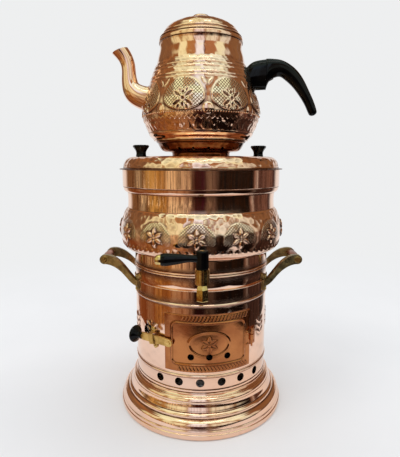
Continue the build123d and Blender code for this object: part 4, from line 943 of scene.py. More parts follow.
def belly_relief(a, z):
    u, v, outline = belly_arch(a, z)
    heights = np.clip(-outline / 3, 0, 1) * np.clip((v + 12) / 8, 0, 1) * 0.25 + belly_petals(u, v)
    foot = wrapped(a, 0, 360 / 78) * 109 * PI_180
    heights += leaf(foot, z, 0, 241.0, 90, 6.0, 2.3, 0.7) * (z < 248)
    shoulder = np.clip((z - 270) / 6, 0, 1) * np.clip((291.5 - z) / 2, 0, 1) * (outline > 0)
    return heights + dents(a, z, 110, 272, 291, 5.5, 0.5, 420, 3) * shoulder + hammered(a, z, 0.12)


def belly_net(a, z):
    u, v, outline = belly_arch(a, z)
    ground = np.clip(-(outline + 0.6) / 0.6, 0, 1) * (belly_petals(u, v, 0.5) < 0.05)
    return ground * np.clip((v + 10) / 6, 0, 1)


line = spline([(WALL, 231.1), (98.2, 231.8), (103.5, 233.6), (109.0, 236.9), (112.0, 240.6), (113.3, 245.0),
               (114.6, 251.5), (115.2, 258.0), (115.2, 264.0), (114.0, 271.5), (111.9, 279.0), (109.4, 286.0),
               (106.8, 290.2), (105.0, 291.9)], 104)
belly = embossed("belly_shell", line, inwards(line, 1.3)[::-6], belly_relief, "belly_band", 780, 1.0,
                 belly_net)
print("belly", len(belly.data.polygons), "faces")

# %% [markdown]
# The samovar's lid has a thin turned-over brim, a rounded edge and a flat top round the fire tube. The crown
# sits on the tube's end: a short neck, then a fluted tier that holds the teapot and lets the smoke out
# through a ring of holes. Both lift off.

# %% Lid and crown
def lid_relief(a, z):
    """Dents of the hammer over the shoulder, where the height changes, fading out on the flat top."""
    shoulder = np.clip((z - 346.5) / 2, 0, 1) * np.clip((361.3 - z) / 1.0, 0, 1)
    return dents(a, z * 1.4, 107, 486, 505, 6.0, 0.5, 330, 5) * shoulder


brim = profile((114.8, 344.05), (115.05, 344.3), (115.0, 344.8), (114.2, 345.2), (112.4, 345.15),
               (110.9, 345.2), (110.0, 346.2),
               spline([(109.8, 347.4), (109.3, 350.6), (108.2, 353.6), (106.0, 356.8), (103.2, 359.2),
                       (100.2, 360.5)], 40),
               (99.0, 360.75), (97.6, 361.0), (95.4, 361.3), (93.0, 361.45), (80, 361.5), (60, 361.5),
               (45, 361.5), (38.7, 361.5))
under = [(38.7, 360.4), (60, 360.4), (96, 360.2), (102.4, 357.8), (106.6, 352.5), (108.8, 346.5),
         (110, 344.05)]
# The brim's outer edge is darkened, a painted shade line along it.
embossed("lid_shell", brim, under, lid_relief, "lid", 540, 1.0, painted_shade=np.clip(brim[:, 0] - 110.8, 0, 1))
lid_skirt = [(108.4, 335.2), (108.45, 335.6), (108.45, 344.0), (109.0, 344.1), (109.0, 345.1), (107.4, 345.1),
             (107.4, 335.2)]
turned("lid_skirt_ring", lid_skirt, "lid_skirt")


def crown_relief(a, z):
    flutes = np.cos(np.radians(a) * 30)
    tier = np.clip((z - 368.5) / 1.5, 0, 1) * np.clip((379.0 - z) / 2.0, 0, 1)
    return 0.12 * flutes * tier


line = profile((40.75, 361.7), (40.75, 364.5), (40.9, 366.8), (42.4, 367.95),
               spline([(46.0, 368.2), (51.0, 368.6), (54.6, 370.2), (57.6, 373.4), (59.6, 377.2),
                       (60.6, 379.6)], 34), (61.0, 380.0), arc((61.6, 380.2), (62.9, 382.4), 0.5, 6))
inner = [(58.4, 382.4), (58.4, 381.4), (59.6, 380.6), (58.6, 377.4), (56.4, 374.0), (53.4, 371.2),
         (46, 369.5), (41, 369.2), (39.8, 367.8), (39.7, 361.7)]
# The whole crown is darkened, as painted shade.
crown = embossed("crown_shell", line, inner, crown_relief, "crown", 480, painted_shade=0.6, dress=False)
with_tree(crown, punch, **{"Count": 18, "Pitch": 20.0, "First angle": 10.0, "Radius": 57.0, "Height": 371.8,
                           "Hole radius": 2.0})
dressed(crown, "crown", 50, finish="heated")
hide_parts("crown", "crown_neck")
print("lid and crown done")

# %% [markdown]
# The teapot is spun too, then embossed with eight pointed medallions that nearly touch. A medallion is cut as
# a net of small squares, which the finish paints paler as a painted highlight, round a star of deep bars.
# Smooth round shields lie between their feet, a zigzag, a row of pearls and a faint ring of leaves run below,
# and turned lines circle the shoulder.

# %% Teapot
POT_REPEATS = 8


def medallion(a, z):
    u = wrapped(a, -16.5, 360 / POT_REPEATS) * 80.5 * PI_180
    return u, z - 433.0, arch(u, z - 433.0, 28.0, 26.0, 15.5)


def pot_star(u, v, grow=0.0):
    """Deep bars of the star: four long ones across, short ones up and down, and a pit in the middle."""
    bars = boss(u, v + 1.5, 2.2 + grow, 1.5)
    rows = [(turn, 4.2, 11, 1.9) for turn in (35, 145, -35, -145)]
    rows += [(turn, 5.6, 4.5, 1.7) for turn in (90, -90)]
    rows += [(turn, 9.5, 4.0, 1.1) for turn in (65, 115)] + [(turn, 9.5, 5.0, 1.2) for turn in (-62, -118)]
    for turn, start, length, half in rows:
        c, s = math.cos(math.radians(turn)), math.sin(math.radians(turn))
        bar = leaf(u, v + 1.5, start * c, start * s, turn, length + grow, half + grow, 1.5, 0.0)
        bars = np.maximum(bars, bar)
    return bars


def pot_relief(a, z):
    u, v, outline = medallion(a, z)
    star = pot_star(u, v)
    collar = np.clip(pot_star(u, v, 1.0), 0, 0.35)
    heights = np.clip(-outline / 1.0, 0, 1) * np.clip(0.9 - v * 0.055, 0.2, 2)
    heights = heights - ridge(outline - 1.0, 0.9, 0.5) + collar - star * 1.5
    between = wrapped(a, -16.5 + 180 / POT_REPEATS, 360 / POT_REPEATS) * 80.5 * PI_180
    heights = np.maximum(heights, boss(between, (z - 419.5) * 0.95, 7.0, 1.5) - 0.05)
    for side in (-1, 1):
        heights = np.maximum(heights, leaf(between, z, side * 1.0, 448, 90 - side * 38, 11.0, 2.0, 0.8))
    zigzag = wrapped(a, 0, 5.0) * 82 * PI_180
    heights += ridge(np.abs(zigzag) * 0.9 - (z - 407.6), 0.6, 0.5) * (z > 407) * (z < 413)
    ring = wrapped(a, 2.5, 7.5) * 79 * PI_180
    foot = np.clip((406 - z) / 3, 0, 1) * (z > 394)
    heights += leaf(ring, z, 0, 395.0, 90, 10.5, 3.6, 0.35, 0.4) + hammered(a, z, 0.35) * foot
    heights += ridge(z - 393.7, 0.6, -0.4)
    for level in (460.4, 464.8, 472.7, 478.0, 482.3):
        heights += ridge(z - level - 0.25 * np.sin(np.radians(a) * 9 + level), 0.7, 0.45)
    shoulder = np.clip((z - 455) / 6, 0, 1) * np.clip((490 - z) / 6, 0, 1)
    return heights + hammered(a, z, 0.2) * shoulder + hammered(a, z, 0.06)


def pot_net(a, z):
    u, v, outline = medallion(a, z)
    return np.clip(-(outline + 1.6) / 0.6, 0, 1) * (pot_star(u, v, 1.6) < 0.05)


low = spline([(66.4, 384.2), (67.2, 385.4), (69.9, 387.6), (72.3, 390.4), (73.6, 393.2)], 14)
middle = spline([(73.7, 393.6), (74.6, 397.2), (76.3, 401.0), (78.8, 406.8), (80.4, 411.6), (81.0, 416.0),
                 (81.0, 421.0), (80.3, 427.0), (79.2, 434.0), (76.9, 441.5), (74.2, 449.5), (71.4, 458.0),
                 (68.9, 465.8), (66.3, 472.4), (63.7, 479.2)], 118)
high = spline([(63.5, 479.8), (61.0, 484.4), (58.9, 492.4), (57.2, 499.0), (56.0, 504.0), (55.8, 508.0),
               (56.2, 511.9)], 26)
line = profile(low, middle, high)
pot = embossed("teapot_shell", line, inwards(line, 1.9)[::-8], pot_relief, "teapot_body", 640, 1.0, pot_net)
base = profile((66.2, 382.8), (66.4, 383.3), (66.3, 383.9), (20, 384.0), (1.0, 384.0), (1.0, 382.7),
               (20, 382.7), (56.4, 382.6), (56.4, 379.3), (57.6, 379.3), (57.6, 382.6))
turned("teapot_bottom", base, "teapot_base")
lid_top = profile((57.0, 512.2), (57.3, 512.6), (57.3, 513.6), arc((57.2, 514.0), (57.0, 517.2), 0.2, 4),
                  (56.2, 517.8), (56.2, 518.8), arc((56.3, 519.2), (54.4, 521.6), 0.4, 6),
                  arc((54.0, 521.9), (51.5, 524.0), -0.2, 4), arc((51.4, 524.3), (50.5, 526.8), 0.45, 6),
                  spline([(50.1, 527.3), (48.4, 530.2), (45.4, 532.9), (41.9, 535.4), (37.2, 538.0),
                          (31.0, 540.3), (24.0, 541.8), (17.0, 542.6), (9.0, 542.95), (2.2, 543.0)], 34))
under = [(2.2, 541.8), (16, 541.4), (30, 539), (40.5, 534.3), (47, 529), (49, 524), (52, 519), (54.4, 513.6),
         (54.4, 505.2), (53.3, 505.2), (53.3, 512.1)]


def pot_lid_relief(a, z):
    return hammered(a, z * 2, 0.3) * np.clip((z - 527.5) / 2, 0, 1) * np.clip((543.0 - z) / 3, 0, 1)


level = lid_top[:, 1]
# The lid's rim is darkened in two lines, round 518.6 mm and below 513.6 mm, as painted shade.
lines = np.maximum(np.clip(1.3 - abs(level - 518.6), 0, 1), np.clip((513.6 - level) / 0.6, 0, 1))
embossed("teapot_lid_shell", lid_top, under, pot_lid_relief, "teapot_lid", 288, 1.0, painted_shade=lines)
knob = profile((9.0, 543.05), (9.1, 543.8), arc((9.3, 544.2), (11.6, 546.2), -0.3, 4),
               arc((11.75, 546.6), (11.5, 548.6), 0.35, 5), arc((11.2, 549.0), (8.0, 549.95), 0.35, 5),
               (5.0, 549.9), (2.1, 549.8), (2.1, 543.05))
turned("teapot_lid_button", knob, "teapot_lid_knob", 96)
cap = profile((2.0, 541.0), (2.0, 549.9), arc((3.5, 549.95), (0.3, 551.2), 0.3, 6), (0.0, 551.2),
              (0.0, 540.9))
turned("teapot_lid_pin", cap[1:-1], "teapot_lid_rivet", 48)
print("teapot", len(pot.data.polygons), "faces")

# %% [markdown]
# Spout and horn are not round about the samovar's axis. Each is a run of ovals along its own bent line: a few
# stations give centre, two half axes and their directions, and a spline fills in the rest, as a clay rib
# would smooth the clay between templates.

# %% Spout and horn
def ovals(stations, fine):
    """Rows of a centre and two half axes, with fine rows for each given one."""
    rows = np.array([np.concatenate(row) for row in stations], float)
    return spline(rows, fine * (len(rows) - 1))


def swept(name, stations, node, sides=40, fine=6, inner=None):
    """Closed skin over ovals. A station is (centre, half axis, half axis). Inner stations hollow it."""
    rows = ovals(stations, fine)
    if inner:
        rows = np.vstack([rows, ovals(inner, fine)[::-1]])
    turn = (np.arange(sides) * 2 * math.pi / sides)[None, :, None]
    centre, first, second = rows[:, None, :3], rows[:, None, 3:6], rows[:, None, 6:9]
    points = centre + np.cos(turn) * first + np.sin(turn) * second
    count, faces = len(rows), []
    for i in range(count if inner else count - 1):
        here, after = i * sides, (i + 1) % count * sides
        for j in range(sides):
            k = (j + 1) % sides
            faces.append([here + j, here + k, after + k, after + j])
    if not inner:
        faces += [list(range(sides))[::-1], list(range((count - 1) * sides, count * sides))]
    thing = piece(name, points.reshape(-1, 3), faces, node, dress=False)
    with edited(thing.data) as work:
        bmesh.ops.recalc_face_normals(work, faces=work.faces)
    return dressed(thing, node, 50)


def spout_stations(inset):
    rows = []
    for reach, height, lean, radius in ((-15, 57.4, 78, 18), (1, 61.8, 60, 16), (11.5, 69, 40, 14),
                                        (15.8, 79.6, 12, 11.4), (16.8, 92.4, 3, 9.8), (18, 105, 12, 9.7),
                                        (22, 114.6, 24, 10.3), (28, 122.4, 20, 11.5)):
        c, s = math.cos(math.radians(lean)), math.sin(math.radians(lean))
        r = radius - inset
        rows.append(((-83 - reach, 0, POT_Z + height), (c * r, 0, s * r), (0, r, 0)))
    return rows


swept("spout_shell", spout_stations(0.0), "teapot_spout", 56, 10, inner=spout_stations(1.1))


def horn_rows(base, stations):
    rows = []
    for reach, height, slope, half, side in stations:
        c, s = math.cos(math.radians(slope)), math.sin(math.radians(slope))
        rows.append(((base + reach, 0, POT_Z + height), (0, 9.5 * side, 0), (-s * half, 0, c * half)))
    return rows


root = horn_rows(0, ((62, 85.0, 0, 14.4, 0.82), (70, 88.5, 0, 18.1, 0.96), (80, 90.2, 0, 19.8, 1.0),
                     (89.6, 91.1, 0, 20.2, 1.0)))
swept("horn_root", root, "teapot_handle_root", 48, 6)
horn = horn_rows(83.0, ((7.0, 91.2, 0, 20.9, 1.03), (9.4, 95.0, 0, 17.3, 1.02), (12.4, 97.3, -1, 15.0, 1.0),
                        (18, 99, -3, 12.9, 0.98), (25.5, 99.5, -8, 11.3, 0.96), (38.5, 93.4, -35, 10.2, 0.9),
                        (50.2, 82.2, -50, 9.2, 0.85), (61.2, 66.2, -58, 7.4, 0.78),
                        (69.5, 51.4, -63, 6.5, 0.7), (74.2, 40.4, -67, 5.9, 0.64)))


def rounded_end(stations, length, steps=6):
    """The stations with a domed end after the last one."""
    centre, a, b = (np.array(v, float) for v in stations[-1])
    along = centre - np.array(stations[-2][0], float)
    along /= np.linalg.norm(along)
    extra = []
    for t in np.linspace(0, math.pi / 2, steps + 1)[1:]:
        k = max(math.cos(t), 0.05)
        extra.append((centre + along * length * math.sin(t), a * k, b * k))
    return list(stations) + extra


swept("horn", rounded_end(horn, 4.6), "teapot_handle", 48, 5)
print("spout and horn done")

# %% [markdown]
# The tap's handle is one black moulding: a hub over the plug and a lever that widens to its brass-capped end.
# The lever is swept like the horn, and the hub is turned on its own upright axis beside the samovar.

# %% Tap handle
TAP = np.array([1.4, -136.2])
HUB_LOW = 222.8 + 7.2 + 2.0


def lever_stations(rows):
    """Ovals across the lever at (reach from the plug, height, thickness, tallness)."""
    made = []
    for reach, height, thick, tall in rows:
        centre = (TAP[0] - reach, TAP[1], HUB_LOW + height)
        made.append((centre, (0, thick / 2, 0), (0, 0, tall / 2)))
    return made


lever = ((2, 12, 11, 10.2), (14, 12.4, 9, 8.6), (26, 12, 10, 11.8), (38, 11.3, 12.2, 14.6),
         (45, 11, 12.4, 15), (48, 10.9, 11.2, 13.6))
swept("tap_lever", lever_stations(lever), "tap_handle", 40, 5)
hub = profile((0.0, 0.0), (6.6, 0.0), arc((7.0, 0.3), (7.4, 1.4), 0.1, 3), (7.5, 4.0), (7.5, 19.0),
              arc((7.45, 20.0), (6.3, 21.9), 0.35, 5), (4.6, 22.3), arc((3.4, 21.7), (0.0, 21.5), 0.1, 4))


def lathed(name, line, node, plane, sides=64, crease=38, lobes=(0, 0.0), dress=True):
    """A turned solid on its own plane, (origin, across, across, along). The line is (radius, along)."""
    origin, across, other, along = (np.array(v, float) for v in plane)
    line = np.asarray(line, float)
    turn = (np.arange(sides) * 2 * math.pi / sides)[:, None]
    swell = np.clip((line[:, 1] - line[:, 1].min()) / np.ptp(line[:, 1]), 0, 1)
    radius = (line[:, 0] * (1 + lobes[1] * np.cos(turn * lobes[0]) * swell))[..., None]
    spoke = np.cos(turn)[..., None] * across + np.sin(turn)[..., None] * other
    points = origin + radius * spoke + line[:, 1][None, :, None] * along
    thing = piece(name, points.reshape(-1, 3), around(sides, len(line), False), node, dress=False)
    with edited(thing.data) as work:
        bmesh.ops.holes_fill(work, edges=[edge for edge in work.edges if edge.is_boundary])
        bmesh.ops.recalc_face_normals(work, faces=work.faces)
    return dressed(thing, node, crease) if dress else thing


def level(x, y, z):
    """An upright axis at a place."""
    return (x, y, z), (1, 0, 0), (0, 1, 0), (0, 0, 1)


lathed("tap_hub", hub, "tap_handle", level(TAP[0], TAP[1], HUB_LOW))
cap_end = ((48.1, 9.4, 12.4), (50.0, 9.4, 12.2), (52.6, 8.6, 11.0), (54.6, 6.4, 8.0), (55.4, 3.0, 4.0))
swept("lever_cap", lever_stations((reach, 10.9, *oval) for reach, *oval in cap_end), "tap_handle_cap", 36, 4)
screw = profile((0.0, 20.3), (2.0, 20.3), (2.0, 21.6), (3.5, 21.6), arc((3.55, 21.7), (0.0, 22.4), 0.2, 6))
lathed("tap_screw_head", screw, "tap_screw", level(TAP[0], TAP[1], HUB_LOW - 0.3), 32)
print("tap handle done")

# %% [markdown]
# The black knobs are turned bakelite with a flared head: two stand on the lid, and one, lying on its side,
# pulls the door's bolt. The side grips are copper barrels on rods with domed heads.

# %% Knobs and grips
knob = profile((0.0, 0.05), (7.0, 0.05), (7.3, 0.5),
               spline([(7.2, 1.0), (6.7, 4.0), (7.6, 8.2), (10.2, 12.2)], 12),
               arc((10.6, 12.8), (10.2, 15.4), 0.55, 5), arc((9.6, 15.8), (4.8, 14.4), -0.2, 4), (4.4, 11.7),
               (0.0, 11.7))
for side, turn in (("left", -80.5), ("right", 98.4)):
    radius = 111.4 - 3.0 - 14.0 - 7.2 - 2.5
    x, y = radius * math.sin(turn * PI_180), -radius * math.cos(turn * PI_180)
    lathed(f"{side}_lid_knob_turned", knob, f"{side}_lid_knob", level(x, y, 361.6), 64, 35, lobes=(8, 0.045))
BOLT_TURN = (DOOR_TURN - DOOR_HALF - 2.6) * PI_180
right = np.array((math.cos(BOLT_TURN), math.sin(BOLT_TURN), 0))
outward = np.array((math.sin(BOLT_TURN), -math.cos(BOLT_TURN), 0))
bolt_back = outward * (WALL + 0.5 + 1.6 + 0.9 + 0.5) + np.array((0, 0, DOOR_MIDDLE))
tang = bolt_back - right * 31.0 + outward * 1.2
mushroom = profile((0.0, 0.3), (4.6, 0.3), (4.9, 0.9),
                   spline([(4.8, 1.4), (4.7, 4.0), (7.2, 7.2), (10.8, 9.8)], 12),
                   arc((11.1, 10.3), (10.2, 14.6), 1.1, 6), arc((9.8, 15.0), (0.0, 17.0), 0.5, 6))
lathed("bolt_knob_turned", mushroom, "latch_knob", (tang, outward, (0, 0, 1), -right), 64, 40)
grip_line = profile((2.6, -19.9), (4.6, -19.9), arc((5.0, -19.6), (5.0, 19.6), 1.15, 18), (4.6, 19.9),
                    (2.6, 19.9))
for side, sign in (("left", -1), ("right", 1)):
    plane = ((sign * 137.5, 0, 217.0), (1, 0, 0), (0, 0, 1), (0, 1, 0))
    barrel = lathed(f"{side}_grip_barrel", grip_line, f"{side}_grip", plane, 56, dress=False)
    dressed(barrel, f"{side}_grip", 35, finish="grip")
print("knobs and grips done")

# %% [markdown]
# Cast and bent brass keeps its CAD form. A copy of the node is welded, its sharp edges are rounded with a
# narrow bevel, as a file leaves them, and it is shaded smooth. Points near a rounded edge are marked as
# rubbed bright. The tap's mouth is filed to six flats, so it is turned anew with six sides.

# %% Castings and small metal parts
def cast(node, bevel=0.45, crease=34, rubbed=0.0, finish=None):
    """Welded, bevelled and smooth copy of a CAD node. Its flat faces stay flat."""
    mesh = frame["nodes"][node].data.copy()
    with edited(mesh) as work:
        bmesh.ops.remove_doubles(work, verts=work.verts, dist=2e-6)
        bmesh.ops.dissolve_limit(work, angle_limit=math.radians(0.6), verts=work.verts, edges=work.edges)
    thing = placed(f"{node}_worked", mesh)
    modifier = thing.modifiers.new("rounded", "BEVEL")
    modifier.width, modifier.segments, modifier.limit_method = bevel * MM, 2, "ANGLE"
    modifier.angle_limit = math.radians(40)
    modifier.use_clamp_overlap = True
    mesh = evaluated(thing, modifier).data
    if rubbed:
        work = bmesh.new()
        work.from_mesh(mesh)
        angles = [[edge.calc_face_angle(0.0) for edge in vert.link_edges] for vert in work.verts]
        sharp = np.array([max(angle, default=0.0) for angle in angles])
        work.free()
        layer = mesh.attributes.new("rubbed", "FLOAT", "POINT")
        layer.data.foreach_set("value", np.clip((sharp - 0.25) / 0.6, 0, 1) * rubbed)
    mesh.shade_smooth()
    mesh.set_sharp_from_angle(angle=math.radians(crease))
    modifier = thing.modifiers.new("flat", "WEIGHTED_NORMAL")
    modifier.keep_sharp, modifier.weight = True, 80
    evaluated(thing, modifier)
    return dressed(thing, node, crease, finish=finish)


for node in ("left_front_arm", "left_rear_arm", "right_front_arm", "right_rear_arm"):
    cast(node, 0.9, 50, 0.8)
cast("tap_body", 0.5, 30)
cast("tap_flange", 0.5, 30)
c, s = math.cos(30 * PI_180), math.sin(30 * PI_180)
nozzle = [(0.0, 207.0), (5.5, 207.0), (5.5, 194.3), (5.9, 194.0), (7.1, 194.05), (7.55, 194.8), (7.55, 207.2),
          (7.35, 208.0), (5.2, 213.8), (0.0, 213.9)]
lathed("tap_spout_filed", nozzle, "tap_spout", ((TAP[0], TAP[1], 0), (c, s, 0), (-s, c, 0), (0, 0, 1)), 6, 25)
cast("tap_plug", 0.3, 34)
for node in ("latch_bolt", "latch_stop"):
    cast(node, 0.6, 34, finish="satin")
for node in ("left_grip_rod", "right_grip_rod", "lid_knob_screws", "grate"):
    cast(node, 0.2, 34)
for node in ("door_hinge_leaf", "casing_hinge_leaf", "hinge_pin"):
    cast(node, 0.2, 34, finish="heated")
print("castings done")

# %% [markdown]
# Rivet heads are all alike, so one low dome is instanced on a list of places by Geometry Nodes, each turned
# to the wall. The places are vertices of a small mesh, and each vertex carries its own turn.

# %% Rivets
RIVET = {"Head radius": 2.3, "Head height": 1.25}
rivet_tree, tree, sockets = node_tree("rivet_heads", RIVET)
wide, high = sockets["Head radius"] * MM, sockets["Head height"] * MM
size = tree.node("ShaderNodeCombineXYZ", {}, {"X": wide, "Y": high, "Z": wide})
dome = tree.node("GeometryNodeMeshUVSphere", {}, {"Segments": 20, "Rings": 10, "Radius": 1.0})
flat = tree.node("GeometryNodeTransform", {}, {0: dome, "Scale": size})
turn = tree.node("GeometryNodeInputNamedAttribute", {"data_type": "FLOAT"}, {"Name": "turn"}, "Attribute")
turn = tree.node("ShaderNodeCombineXYZ", {}, {"X": 0.0, "Y": 0.0, "Z": turn})
heads = {"Points": sockets["Geometry"], "Instance": flat, "Rotation": turn}
close_tree(tree, tree.node("GeometryNodeInstanceOnPoints", {}, heads), copper)


def rivets(name, node, places, finish=None):
    """Rivet heads at (distance from the axis, degrees, level)."""
    mesh = bpy.data.meshes.new(name)
    turns = [angle * PI_180 for _, angle, _ in places]
    spots = [(r * math.sin(t), -r * math.cos(t), z) for (r, _, z), t in zip(places, turns)]
    mesh.from_pydata((np.array(spots) * MM).tolist(), [], [])
    mesh.attributes.new("turn", "FLOAT", "POINT").data.foreach_set("value", turns)
    return dressed(with_tree(placed(name, mesh), rivet_tree, **RIVET), node, 60, finish=finish)


arm_foot = math.degrees(math.asin(38 / WALL))
spots = [(fore, side, step) for fore in (-arm_foot, arm_foot) for side in (-1, 1) for step in (-9.2, 8.6)]
pads = [(98.9, side * (90 + fore), 187.6 + step) for fore, side, step in spots]
rivets("pad_rivet_heads", "handle_rivets", pads)
hinge_turn = DOOR_TURN + DOOR_HALF + 0.6
for name, node, radius, beside in (("leaf_rivet_heads", "hinge_rivets", 97.5, 4.15),
                                   ("door_rivet_heads", "door_rivets", 99.5, -4.15)):
    rivets(name, node, [(radius, hinge_turn + beside, DOOR_MIDDLE + side * 7.92) for side in (-1, 1)],
           finish="heated")
print("arm and hinge rivets done")

# %% [markdown]
# The latch's strap is bent from a strip of sheet brass: two round feet lie on the wall, and the middle is
# raised so that the bolt slides under it. A flat grid of points is laid out along the strip and then lifted
# by a smooth step.

# %% Latch strap
tilt = 12 * PI_180


def strap_mesh():
    """Front and back grids of the strip. u runs across and v along it, which is 12 degrees off upright."""
    u, v = np.meshgrid(np.linspace(-1, 1, 19), np.linspace(-14.6, 14.6, 91), indexing="ij")
    half = 3.7 * np.sqrt(np.clip(1 - (np.clip(np.abs(v) - 10.9, 0, None) / 3.75) ** 2, 0.02, 1))
    across = u * half
    sideways = -14.0 + across * math.cos(tilt) - v * math.sin(tilt)
    foot = np.sqrt(98.25**2 - sideways**2) - 99.7
    raised = np.clip((8.6 - np.abs(v)) / 1.9, 0, 1)
    raised = raised * raised * (3 - 2 * raised)
    worn = 0.35 * (1 - np.sqrt(np.clip(1 - np.clip(np.abs(u) * 3.7 - 3.0, 0, 0.7) ** 2 / 0.5, 0, 1)))
    layers = []
    for depth in (-worn, np.full_like(u, -1.5)):
        out = foot + (4.5 - foot) * raised + depth
        place = np.array([0, 0, 1.0]) * (v * math.cos(tilt) + across * math.sin(tilt))[..., None]
        face = bolt_back + sideways[..., None] * right + out[..., None] * outward + place
        layers.append(face.reshape(-1, 3))
    thing = piece("strap_bent", np.concatenate(layers), plate_faces(*u.shape), "latch_strap", dress=False)
    return dressed(thing, "latch_strap", 50, finish="satin")


strap_mesh()
along = np.array((0, 0, 1)) * math.cos(tilt) - right * math.sin(tilt)
strap = []
for side in (-1, 1):
    spot = bolt_back + outward * 2.9 - right * 14.0 + side * 11.5 * along
    strap.append((98.3, math.degrees(math.atan2(spot[0], -spot[1])), spot[2]))
rivets("strap_rivet_heads", "strap_rivets", strap)
print("latch strap done")

# %% [markdown]
# A row of small pearls is soldered round the teapot above its ring of leaves. They are low spheres, a few
# dozen faces each, instanced on a circle.

# %% Pearls
pearl_tree, tree, sockets = node_tree("pearl_row", {**PLACES, "Pearl radius": 0.9})
points, turn = ring_places(tree, sockets)
pearl = tree.node("GeometryNodeMeshIcoSphere", {},
                  {"Radius": sockets["Pearl radius"] * MM, "Subdivisions": 2})
pearls = {"Points": points, "Instance": pearl, "Rotation": turn}
close_tree(tree, tree.node("GeometryNodeInstanceOnPoints", {}, pearls), copper)
pearls = placed("teapot_pearls", bpy.data.meshes.new("teapot_pearls"))
with_tree(pearls, pearl_tree, **{"Count": 144, "Pitch": 2.5, "First angle": 0.0, "Radius": 81.6,
                                 "Height": 415.6})
dressed(pearls, "teapot_body", 60, replaces=False)
print("pearls", len(pearls.data.polygons), "faces")

# %% [markdown]
# The stage is a pale floor that fades into a pale surround with distance from the samovar. For the rays that
# mirror metal sends out, it ends like a table top, so that the metal shows the room beyond its edge.

# %% Floor
PALE = (0.855, 0.862, 0.867)
TABLE_HALF, TABLE_FRONT = 0.35, 0.36


def stage_floor():
    mesh = bpy.data.meshes.new("floor")
    turn = np.linspace(0, 2 * math.pi, 65)[:-1]
    rings = (0.0, 0.3, 0.8, 2.0, 6.0, 20.0)
    points = [(0, 0, -0.0002)]
    points += [(r * math.sin(t), -r * math.cos(t), -0.0002) for r in rings[1:] for t in turn]
    faces = [[0, 1 + j, 1 + (j + 1) % 64] for j in range(64)]
    for k in range(len(rings) - 2):
        a, b = 1 + k * 64, 1 + (k + 1) * 64
        faces += [[a + j, b + j, b + (j + 1) % 64, a + (j + 1) % 64] for j in range(64)]
    mesh.from_pydata(points, [], faces)
    floor = placed("floor", mesh)
    material = bpy.data.materials.new("pale_floor")
    material.use_nodes = True
    tree = Tree(material.node_tree)
    tree.nodes.remove(tree.nodes["Principled BSDF"])
    here = tree.node("ShaderNodeTexCoord", output="Object")
    distance = tree.node("ShaderNodeVectorMath", {"operation": "LENGTH"}, {0: here}, "Value")
    far = distance.ease(0.35, 1.3)
    paper = tree.mix(tree.noise(5.0, 3.0).ease(0.3, 0.7), (0.83, 0.835, 0.84), (0.85, 0.853, 0.857))
    matt = tree.node("ShaderNodeBsdfDiffuse", {}, {"Color": paper}, "BSDF")
    glow = tree.node("ShaderNodeEmission", {}, {"Color": (*PALE, 1.0), "Strength": 1.0}, "Emission")
    mixed = tree.node("ShaderNodeMixShader", {}, {0: far, 1: matt, 2: glow}, "Shader")
    parts = tree.node("ShaderNodeSeparateXYZ", {}, {0: here}, "X").socket.node.outputs
    x, y = Value(tree, parts["X"]), Value(tree, parts["Y"])
    beyond = abs(x).ease(TABLE_HALF, TABLE_HALF + 0.02).larger((y * -1).ease(TABLE_FRONT, TABLE_FRONT + 0.02))
    ahead = abs(x.atan2(y * -1) * (180 / math.pi)).ease(126, 140, 1.0, 0.0)
    rays = tree.node("ShaderNodeLightPath", {}, {}, "Is Glossy Ray")
    clear = tree.node("ShaderNodeBsdfTransparent", {}, {}, "BSDF")
    mixed = tree.node("ShaderNodeMixShader", {}, {0: rays * beyond * ahead, 1: mixed, 2: clear}, "Shader")
    tree.links.new(mixed.socket, tree.nodes["Material Output"].inputs["Surface"])
    mesh.materials.append(material)


stage_floor()
print("floor done")

# %% [markdown]
# Mirror metal shows whatever stands round it, so the surround has, for glossy rays only, what a kitchen would
# have: pale walls behind, warm timber with brighter upright gaps to the front left, shade to the front right,
# a pale ceiling, and one dim narrow window high in front. Each height of it is a ramp of colours over the
# heading.

# %% Surround
world = bpy.data.worlds.new("surround")
bpy.context.scene.world = world
world.use_nodes = True
sky = Tree(world.node_tree)
for node in list(sky.nodes):
    sky.nodes.remove(node)
heading = sky.node("ShaderNodeTexCoord", output="Generated")
parts = sky.node("ShaderNodeSeparateXYZ", {}, {0: heading}, "X").socket.node.outputs
x, y, z = (Value(sky, parts[name]) for name in "XYZ")
turn = x.atan2(y * -1) * (180 / math.pi)
rise = z.maths("ARCSINE") * (180 / math.pi)


def streaks(scale, low, high, seed):
    """Upright stripes of uneven width, by heading only."""
    spot = sky.node("ShaderNodeCombineXYZ", {}, {"X": turn * 0.02, "Y": rise * 0.0015 + seed, "Z": 0.0})
    inputs = {"Vector": spot, "Scale": scale, "Detail": 4.0, "Roughness": 0.6}
    return sky.node("ShaderNodeTexNoise", {}, inputs, "Fac").ease(low, high)


spot = sky.node("ShaderNodeCombineXYZ", {}, {"X": turn * 0.05, "Y": rise * 0.02, "Z": 3.0})
waver = sky.node("ShaderNodeTexNoise", {}, {"Vector": spot, "Scale": 3.0, "Detail": 3.0}, "Fac")
uneven = turn + (waver - 0.5) * 9


def bands(*stops):
    """Colours at headings, blended in between. Fine upright streaks run through them."""
    ramp = [((heading + 180) / 360, colour) for heading, colour in stops]
    return sky.node("ShaderNodeValToRGB", {"ramp": ramp}, {"Fac": (uneven + 180) / 360}, "Color")


SHADE, BROWN = (0.008, 0.006, 0.005), (0.22, 0.12, 0.06)
